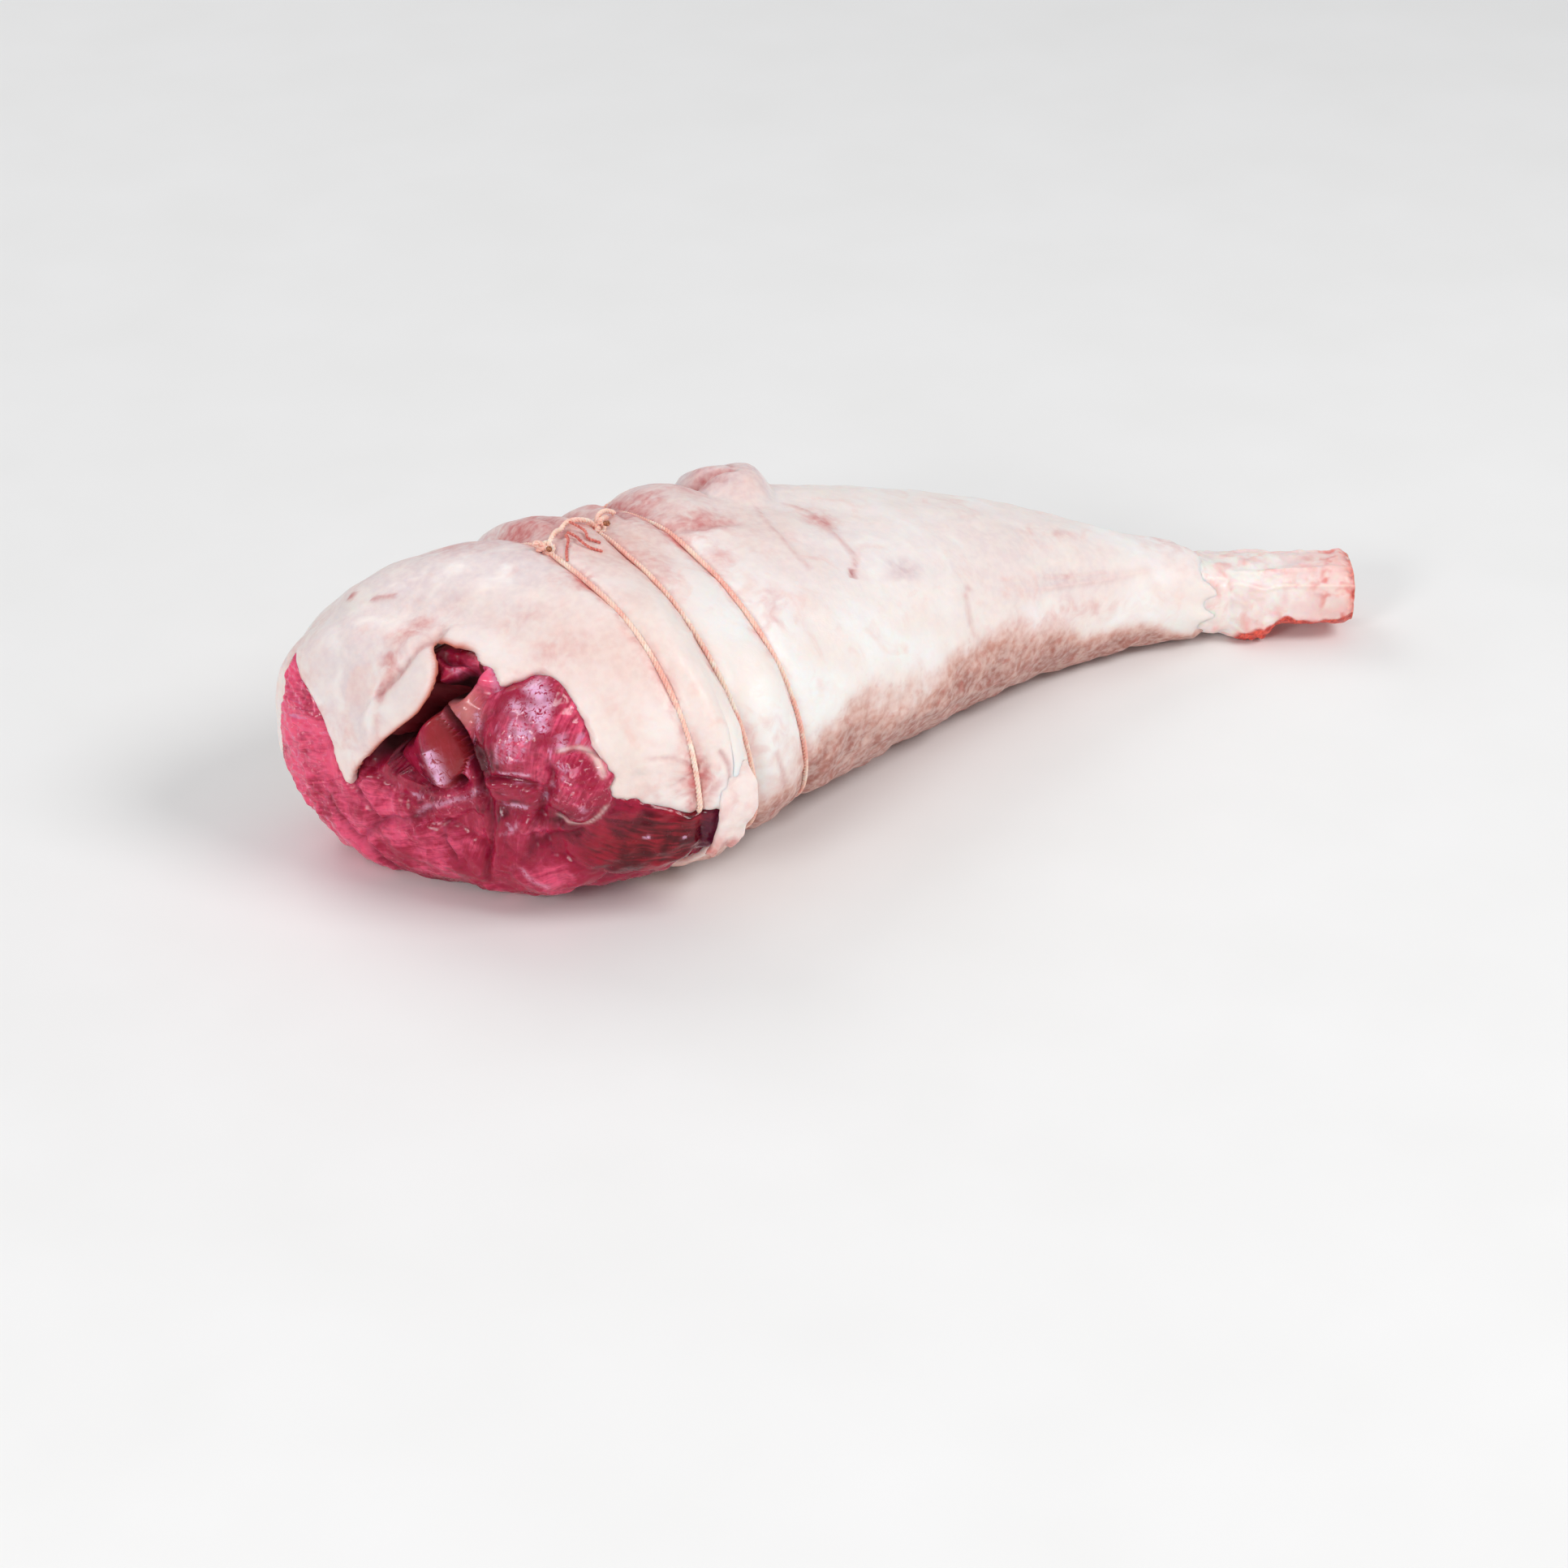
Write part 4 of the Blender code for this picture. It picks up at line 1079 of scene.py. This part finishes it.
def twine_tree():
    tree = bpy.data.node_groups.new("laid_twine", "GeometryNodeTree")
    sockets = {"Path": "Geometry", "Ply radius": "Float", "Twist length": "Float", "Plies": "Int",
               "Step": "Float", "Finish": "Material"}
    for name, kind in sockets.items():
        tree.interface.new_socket(name=name, in_out="INPUT", socket_type="NodeSocket" + kind)
    tree.interface.new_socket(name="Twine", in_out="OUTPUT", socket_type="NodeSocketGeometry")
    given = tree.nodes.new("NodeGroupInput").outputs

    def step(kind, inputs, **settings):
        return add_node(tree, "GeometryNode" + kind, inputs, **settings).outputs

    def maths(operation, first, second=0.0):
        return add_node(tree, "ShaderNodeMath", {0: first, 1: second}, operation=operation).outputs[0]

    def vectors(operation, first, second=None, scale=None):
        inputs = {0: first}
        if second is not None:
            inputs[1] = second
        if scale is not None:
            inputs["Scale"] = scale
        return add_node(tree, "ShaderNodeVectorMath", inputs, operation=operation).outputs[0]

    path = step("ResampleCurve", {"Curve": given["Path"], "Length": given["Step"]}, mode="LENGTH")
    copies = step("DuplicateElements", {0: path[0], "Amount": given["Plies"]}, domain="SPLINE")
    turns = maths("ROUND", maths("DIVIDE", step("SplineLength", {})["Length"], given["Twist length"]))
    turns = maths("MAXIMUM", turns, 1.0)
    phase = maths("DIVIDE", copies["Duplicate Index"], given["Plies"])
    passed = maths("MULTIPLY", step("SplineParameter", {})["Factor"], turns)
    angle = maths("MULTIPLY", maths("ADD", passed, phase), 2 * math.pi)
    outward, forward = step("InputNormal", {})[0], step("InputTangent", {})[0]
    sideways = vectors("CROSS_PRODUCT", forward, outward)
    circle = vectors("ADD", vectors("SCALE", outward, scale=maths("COSINE", angle)),
                     vectors("SCALE", sideways, scale=maths("SINE", angle)))
    offset = vectors("SCALE", circle, scale=maths("MULTIPLY", given["Ply radius"], PLY_APART))
    moved = step("SetPosition", {"Geometry": copies[0], "Offset": offset})
    profile = step("CurvePrimitiveCircle", {"Resolution": 8, "Radius": given["Ply radius"]}, mode="RADIUS")
    laid = step("CurveToMesh", {"Curve": moved[0], "Profile Curve": profile[0], "Fill Caps": True})
    smooth = step("SetShadeSmooth", {0: laid[0], "Shade Smooth": True})
    real = step("RealizeInstances", {0: smooth[0]})
    done = step("SetMaterial", {"Geometry": real[0], "Material": given["Finish"]})
    tree.links.new(done[0], tree.nodes.new("NodeGroupOutput").inputs[0])
    return tree


TWINE_TREE = twine_tree()


def lay_twine(name, paths, radius, twist, finish, plies=3):
    """Twisted plies along each path: (points in the leg's millimetres, closed or not)."""
    curve = bpy.data.curves.new(name, "CURVE")
    curve.dimensions = "3D"
    for points, closed in paths:
        spline = curve.splines.new("POLY")
        spline.points.add(len(points) - 1)
        spline.use_cyclic_u = closed
        for spot, place in zip(spline.points, to_frame(points)):
            spot.co = (*place, 1)
    source = bpy.data.objects.new(name + "_path", curve)
    bpy.context.scene.collection.objects.link(source)
    modifier = source.modifiers.new("twine", "NODES")
    modifier.node_group = TWINE_TREE
    ply_radius = radius / (PLY_APART + 1)
    values = {"Ply radius": ply_radius * MM, "Twist length": twist * MM, "Step": PLY_STEP * MM,
              "Plies": plies, "Finish": finish}
    for item in TWINE_TREE.interface.items_tree:
        if item.in_out == "INPUT" and item.name in values:
            modifier[item.identifier] = values[item.name]
    bpy.context.view_layer.update()
    evaluated = source.evaluated_get(bpy.context.evaluated_depsgraph_get())
    mesh = bpy.data.meshes.new_from_object(evaluated)
    mesh.name = name
    piece = bpy.data.objects.new(name, mesh)
    bpy.context.scene.collection.objects.link(piece)
    bpy.data.objects.remove(source)
    bpy.data.curves.remove(curve)
    return piece


# %% Twine: finding the path of each string
def surface_tree(*pieces):
    points, faces = [], []
    for piece in pieces:
        start = len(points)
        points += [v.co.copy() for v in piece.data.vertices]
        faces += [[start + i for i in p.vertices] for p in piece.data.polygons]
    return BVHTree.FromPolygons(points, faces)


SURFACE = surface_tree(fat_cover, cut_meat)
STRING_RADIUS, STRING_PROUD, STRING_LIFT = 0.92, 0.5, 0.3
# Looks start this far out and aim at this height, and one smoothing pass draws the cord in by this at most.
LOOK_FROM, MIDDLE_HEIGHT, SLACK = 150, 46, 0.15
BURIED, SUNK = 1.3, 3.6  # into the folds on the upper far side, and of the first string low on the near side


def look_in(origin, target):
    """The point in the leg's millimetres where the line from origin to target meets the leg."""
    start, end = Vector(to_frame(origin)), Vector(to_frame(target))
    hit = SURFACE.ray_cast(start, (end - start).normalized())[0]
    return np.array(hit) / MM - SHIFT if hit else None


def in_plane(name, y, z):
    place, across, up = STRINGS[name]
    return np.array((place - across * y + up * (z - LEAN_HEIGHT), y, z))


def string_path(name, count=300):
    """Points round the leg in a string's plane, bridging the small dips."""
    middle = in_plane(name, 0, MIDDLE_HEIGHT)
    outward = [np.array((math.cos(a), math.sin(a))) for a in np.arange(count) * 2 * math.pi / count]
    reach = []
    for out in outward:
        start = in_plane(name, *(middle[1:] + LOOK_FROM * out))
        reach.append(np.linalg.norm((look_in(start, middle) - middle)[1:]))
    reach = np.array(reach)
    for _ in range(12):
        level = (np.roll(reach, 2) + np.roll(reach, 1) + np.roll(reach, -1) + np.roll(reach, -2)) / 4
        reach = np.maximum(reach - SLACK, level)
    spots = [middle[1:] + (r + STRING_PROUD) * out for r, out in zip(reach, outward)]
    path = np.array([in_plane(name, *spot) for spot in spots])
    turned = np.degrees(np.arctan2(path[:, 2] - middle[2], path[:, 1]))
    buried = BURIED * hump(angle_between(turned, 50) / 24, 1.0, 4)
    path[:, 1:] -= buried[:, None] * np.array(outward)
    if name == "string_1":
        low_near = ease((43 - path[:, 2]) / 6) * (path[:, 1] < 0)
        path[:, 1] += SUNK * low_near * ease((path[:, 2] - 4) / 10)
    path[:, 2] = np.maximum(path[:, 2], STRING_RADIUS + STRING_LIFT)
    return path


def twine_finish():
    f = Finish("twine_stained")
    stain, fibre = f.noise(14, 3, 0.5), f.noise(0.7, 3, 0.3)
    colour = f.mix(f.between(stain, 0.35, 0.6), srgb(255, 220, 202), srgb(250, 184, 168))
    colour = f.mix(f.between(f.noise(6, 3), 0.52, 0.7), colour, srgb(255, 238, 222))
    colour = f.mix(f.between(fibre, 0.5, 0.75), colour, f.mix(0.5, colour, srgb(255, 240, 226)))
    colour = f.mix(f.between(fibre, 0.42, 0.25), colour, f.mix(0.4, colour, srgb(208, 110, 96)))
    return f.made({
        "Base Color": colour, "Normal": f.bump(fibre, 0.15, 0.8), "Roughness": 0.65,
        "Subsurface Weight": 0.3, "Subsurface Scale": 0.5 * MM,
    })


TWINE, STRING_TWIST = twine_finish(), 4.6
string_paths = {name: string_path(name) for name in STRINGS}
for name, path in string_paths.items():
    twine = lay_twine("twine_" + name[-1], [(path, True)], STRING_RADIUS, STRING_TWIST, TWINE)
    finished(twine, "twine", name)

# %% [markdown]
# ## The loose tag of fat
# Between the first two strings the coat ends in a loose strip that hangs down over the meat, thick and
# creamy, with a torn pink foot. It is lofted from rounded oblongs along a line that hugs the leg and then
# hangs free.

# %% Fat tag
TAG = np.array((  # place along, height, half width, half thickness, gap to the leg
    (65.5, 55.0, 5.0, 0.8, -2.6), (65.6, 50.5, 6.0, 1.1, -1.7), (65.6, 45.5, 7.0, 1.6, -0.7),
    (65.0, 40.0, 7.0, 2.0, 0.1), (63.8, 36.0, 6.4, 2.2, 0.5), (62.2, 32.0, 5.8, 2.2, 0.8),
    (60.6, 28.8, 6.2, 2.0, 1.0), (59.8, 26.2, 5.8, 1.6, 1.0),
))


def tag_rings(turns=72, rings=80, end_rings=8):
    line = through(TAG, fineness=20)
    line = line[np.linspace(0, len(line) - 1, rings).astype(int)]
    leg_y = np.array([look_in((x, -200, max(z, 21)), (x, 0, max(z, 21)))[1] for x, z in line[:, :2]])
    leg_y = np.convolve(np.pad(leg_y, 6, mode="edge"), np.ones(13) / 13, mode="valid")
    middle = np.stack([line[:, 0], leg_y - line[:, 4] - line[:, 3], line[:, 1]], axis=-1)
    turn = np.arange(turns) * 2 * np.pi / turns
    spread = signed_power(np.cos(turn), 0.8)[:, None] * np.array((1, 0.05, 0.08))
    depth = signed_power(np.sin(turn), 0.8)[:, None] * np.array((0.1, -1, 0.1))
    loops = [middle[i] + line[i, 2] * spread + line[i, 3] * depth for i in range(rings)]
    first, last = loops[0], loops[-1]
    loops = [middle[0] + (first - middle[0]) * k for k in np.linspace(0.1, 0.9, end_rings)] + loops
    for k in np.linspace(0.9, 0.1, end_rings):
        loops.append(middle[-1] + (last - middle[-1]) * k - (0, 0, 1.6 * (1 - k * k)))
    return np.array(loops)


tag = Surface(tag_rings())
low = ease((34 - tag.shape[..., 2]) / 9)
bumps = 0.35 * lumps(tag.shape, 7, 51) + 0.2 * lumps(tag.shape, 3, 52)
tag.push(bumps + low * (0.7 * lumps(tag.shape, 3.2, 53) - 0.2))
tag.shape[..., 2] -= low * 1.8 * lumps(tag.shape * (1, 0.2, 0.1), 3.5, 54)
none = np.zeros_like(low)
tag_marks = {
    "veil": none, "rosy": none + 0.6, "blush": np.clip(0.25 + low, 0, 1),
    "line": 0.5 * low * ease(lumps(tag.shape, 3, 55) * 2), "raw": 0.35 * low, "cut": none, "inner": none,
}
fat_tag = closed_rings("fat_tag", to_frame(tag.shape), FAT, tag_marks)
finished(fat_tag, "fat")

# %% [markdown]
# ## Knots and loose ends
# Each string is pulled up in a small hard knot. The first two sit on top of the leg, joined by an arch of
# the same cord, with a cut tuft and curly single plies, stained red. A knot is a tight trefoil of the
# cord.


# %% Knots
def trefoil(middle, size, lean, count=60):
    """A tight knot round a point, lying on the top of the leg."""
    t = np.arange(count) * 2 * np.pi / count
    flat = np.stack([np.sin(t) + 2 * np.sin(2 * t), np.cos(t) - 2 * np.cos(2 * t), -np.sin(3 * t)], axis=-1)
    flat = flat * (size / 3, size / 3 * 0.8, size / 3 * 0.75)
    turned = np.stack([flat[:, 0] * math.cos(lean) - flat[:, 1] * math.sin(lean),
                       flat[:, 0] * math.sin(lean) + flat[:, 1] * math.cos(lean), flat[:, 2]], axis=-1)
    return turned + middle


def on_top(x, y, lift):
    """A point above the leg's skin."""
    hit = look_in((x, y, 160), (x, y, 0))
    return hit + (0, 0, lift)


def loose(points, fineness=7):
    """A smooth cord through (x, y, height above the skin) points."""
    line = through([on_top(x, y, 0) for x, y, _ in points], fineness=fineness)
    lifts = through([(i, lift) for i, (_, _, lift) in enumerate(points)], fineness=fineness)[:, 1]
    return np.array([on_top(x, y, lift) for (x, y, _), lift in zip(line, lifts)])


CORD, CORD_TWIST = 0.9, 4.0
ARCH = ((41.5, 0.5, 1.5), (45, 3.5, 2.6), (50, 8.5, 2.4), (55.5, 12, 1.8), (61, 13, 1.6), (66.5, 14.5, 2.0))
TUFT = ((40.5, 0, 1.5), (38.6, 0.8, 3.0), (36.8, 1.4, 2.4))
TAILS = (
    ((67, 15.5, 2), (70.5, 20, 4.2), (75, 24, 3.0), (79, 25, 0.8)),
    ((66.5, 15, 2), (70, 17, 3.4), (74, 21, 1.6)),
)
KNOTS = {  # place and height above the skin, size, turn, and the loose cords that leave it
    "knot_1": ((40.8, 0.2, 1.6), 3.2, 0.4, (ARCH, TUFT)),
    "knot_2": ((66.9, 15.5, 1.8), 3.6, 1.3, TAILS),
}
for name, (place, size, lean, cords) in KNOTS.items():
    paths = [(trefoil(on_top(*place), size, lean), True)] + [(loose(cord), False) for cord in cords]
    finished(lay_twine(name, paths, CORD, CORD_TWIST, TWINE), "twine")


# %% Cut ends and loose plies
TIP_RADIUS, TIP_TWIST = 1.0, 30.0
CURL_RADIUS, CURL_TWIST = 0.55, 2.0
CUT_ENDS = (((40.4, -2.4, 2.6), (39.7, -4.2, 2.9)), ((69.2, 13.2, 3.0), (69.9, 11.8, 3.2)))
CURLS = (
    ((50, 4, 1.2), (48.5, -0.5, 1.2), (45.5, -5, 0.6), (43.5, -9, 0.4)),
    ((51, 5, 1.8), (52.5, 1, 1.0), (51.6, -2.5, 1.6), (53.6, -5.5, 0.6), (57, -8, 0.5)),
    ((54, 9, 3.0), (57, 4, 1.2), (56, 0, 0.8), (59, -3, 0.5)),
)


def end_finish():
    f = Finish("cord_ends")
    shade = f.between(f.noise(0.6, 2), 0.3, 0.7)
    return f.made({"Base Color": f.mix(shade, srgb(120, 62, 40), srgb(196, 132, 96)), "Roughness": 0.7})


def stained_finish():
    f = Finish("ply_red")
    fibre = f.noise(1.2, 3, 0.3)
    colour = f.mix(f.between(fibre, 0.3, 0.7), srgb(196, 82, 78), srgb(236, 146, 130))
    return f.made({"Base Color": colour, "Normal": f.bump(fibre, 0.1, 0.8), "Roughness": 0.5})


tips = [(loose(points, 4), False) for points in CUT_ENDS]
finished(lay_twine("cut_tips", tips, TIP_RADIUS, TIP_TWIST, end_finish(), plies=4), "twine")
curls = [(loose(points), False) for points in CURLS]
finished(lay_twine("loose_plies", curls, CURL_RADIUS, CURL_TWIST, stained_finish(), plies=2), "twine")


# %% Knot on the far side
def far_knot(name, angle, size):
    """A knot on a string where it runs down the far side, with two short tails."""
    path = string_paths[name]
    middle = path.mean(axis=0)
    turn = np.degrees(np.arctan2(path[:, 2] - middle[2], path[:, 1] - middle[1]))
    spot = path[np.argmin(np.abs(turn - angle))]
    out = np.array((0, math.cos(math.radians(angle)), math.sin(math.radians(angle))))
    side = np.array((0, -out[2], out[1]))
    along = np.array((1.0, 0, 0))
    loop = trefoil(np.zeros(3), size, 0.7)
    knot = loop[:, :1] * along + loop[:, 1:2] * side + loop[:, 2:] * out + spot + 0.8 * out
    paths = [(knot, True)]
    for way in (-1, 1):
        places = ((1.2, 0, 0), (2.4, 3, 2), (1.8, 6.5, 4.5), (0.9, 10, 5.5))
        paths.append((through([spot + out * a + along * b + side * c * way for a, b, c in places]), False))
    return paths


knot_paths = far_knot("string_3", angle=28, size=3.3)
finished(lay_twine("knot_3", knot_paths, CORD, CORD_TWIST, TWINE), "twine")

# %% [markdown]
# ## Light, floor and camera
# A plain pale floor and three soft lamps: a large one above and to the right of the camera, a wide fill
# on the left, whose reflection makes the wet meat shine, and one behind for the upper edge.

# %% Stage
def soft_lamp(name, place, aim, size, watts):
    lamp = bpy.data.lights.new(name, "AREA")
    lamp.shape, lamp.size, lamp.energy = "DISK", size, watts
    item = bpy.data.objects.new(name, lamp)
    item.location = place
    item.rotation_euler = (Vector(aim) - Vector(place)).to_track_quat("-Z", "Y").to_euler()
    bpy.context.scene.collection.objects.link(item)
    return item


soft_lamp("key", (0.75, -1.0, 1.35), (0, 0, 0.04), 0.8, 15)
soft_lamp("fill", (-1.3, -0.7, 0.8), (-0.05, 0, 0.05), 0.5, 8)
soft_lamp("back", (-0.2, 1.2, 1.2), (0, 0, 0.04), 0.9, 5)

f = Finish("floor_pale")
mottle = f.mix(f.noise(60, 2), srgb(238, 237, 235), srgb(244, 243, 242))
f.made({"Base Color": mottle, "Roughness": 0.7})
FLOOR_HALF = 4.0
corners = [(x * FLOOR_HALF, y * FLOOR_HALF, 0) for x, y in ((-1, -1), (1, -1), (1, 1), (-1, 1))]
floor = new_piece("floor", corners, [(0, 1, 2, 3)], f.material)

world = bpy.data.worlds.new("studio")
world.use_nodes = True
sky = world.node_tree.nodes["Background"].inputs
sky["Color"].default_value = (0.95, 0.97, 1.0, 1)
sky["Strength"].default_value = 0.45
bpy.context.scene.world = world
bpy.context.scene.view_settings.view_transform = "Standard"

# %% Camera
AIM = Vector((-0.0604, -0.0536, 0.0268))
AZIMUTH, ELEVATION, DISTANCE = math.radians(30.53), math.radians(31.39), 1.4
camera_data = bpy.data.cameras.new("camera")
camera_data.lens, camera_data.sensor_width = 97.86, 36
camera = bpy.data.objects.new("camera", camera_data)
level = math.cos(ELEVATION)
looking = Vector((math.sin(AZIMUTH) * level, math.cos(AZIMUTH) * level, -math.sin(ELEVATION)))
camera.location = AIM - looking * DISTANCE
camera.rotation_euler = looking.to_track_quat("-Z", "Y").to_euler()
bpy.context.scene.collection.objects.link(camera)
bpy.context.scene.camera = camera
print("camera at", [round(c, 3) for c in camera.location])
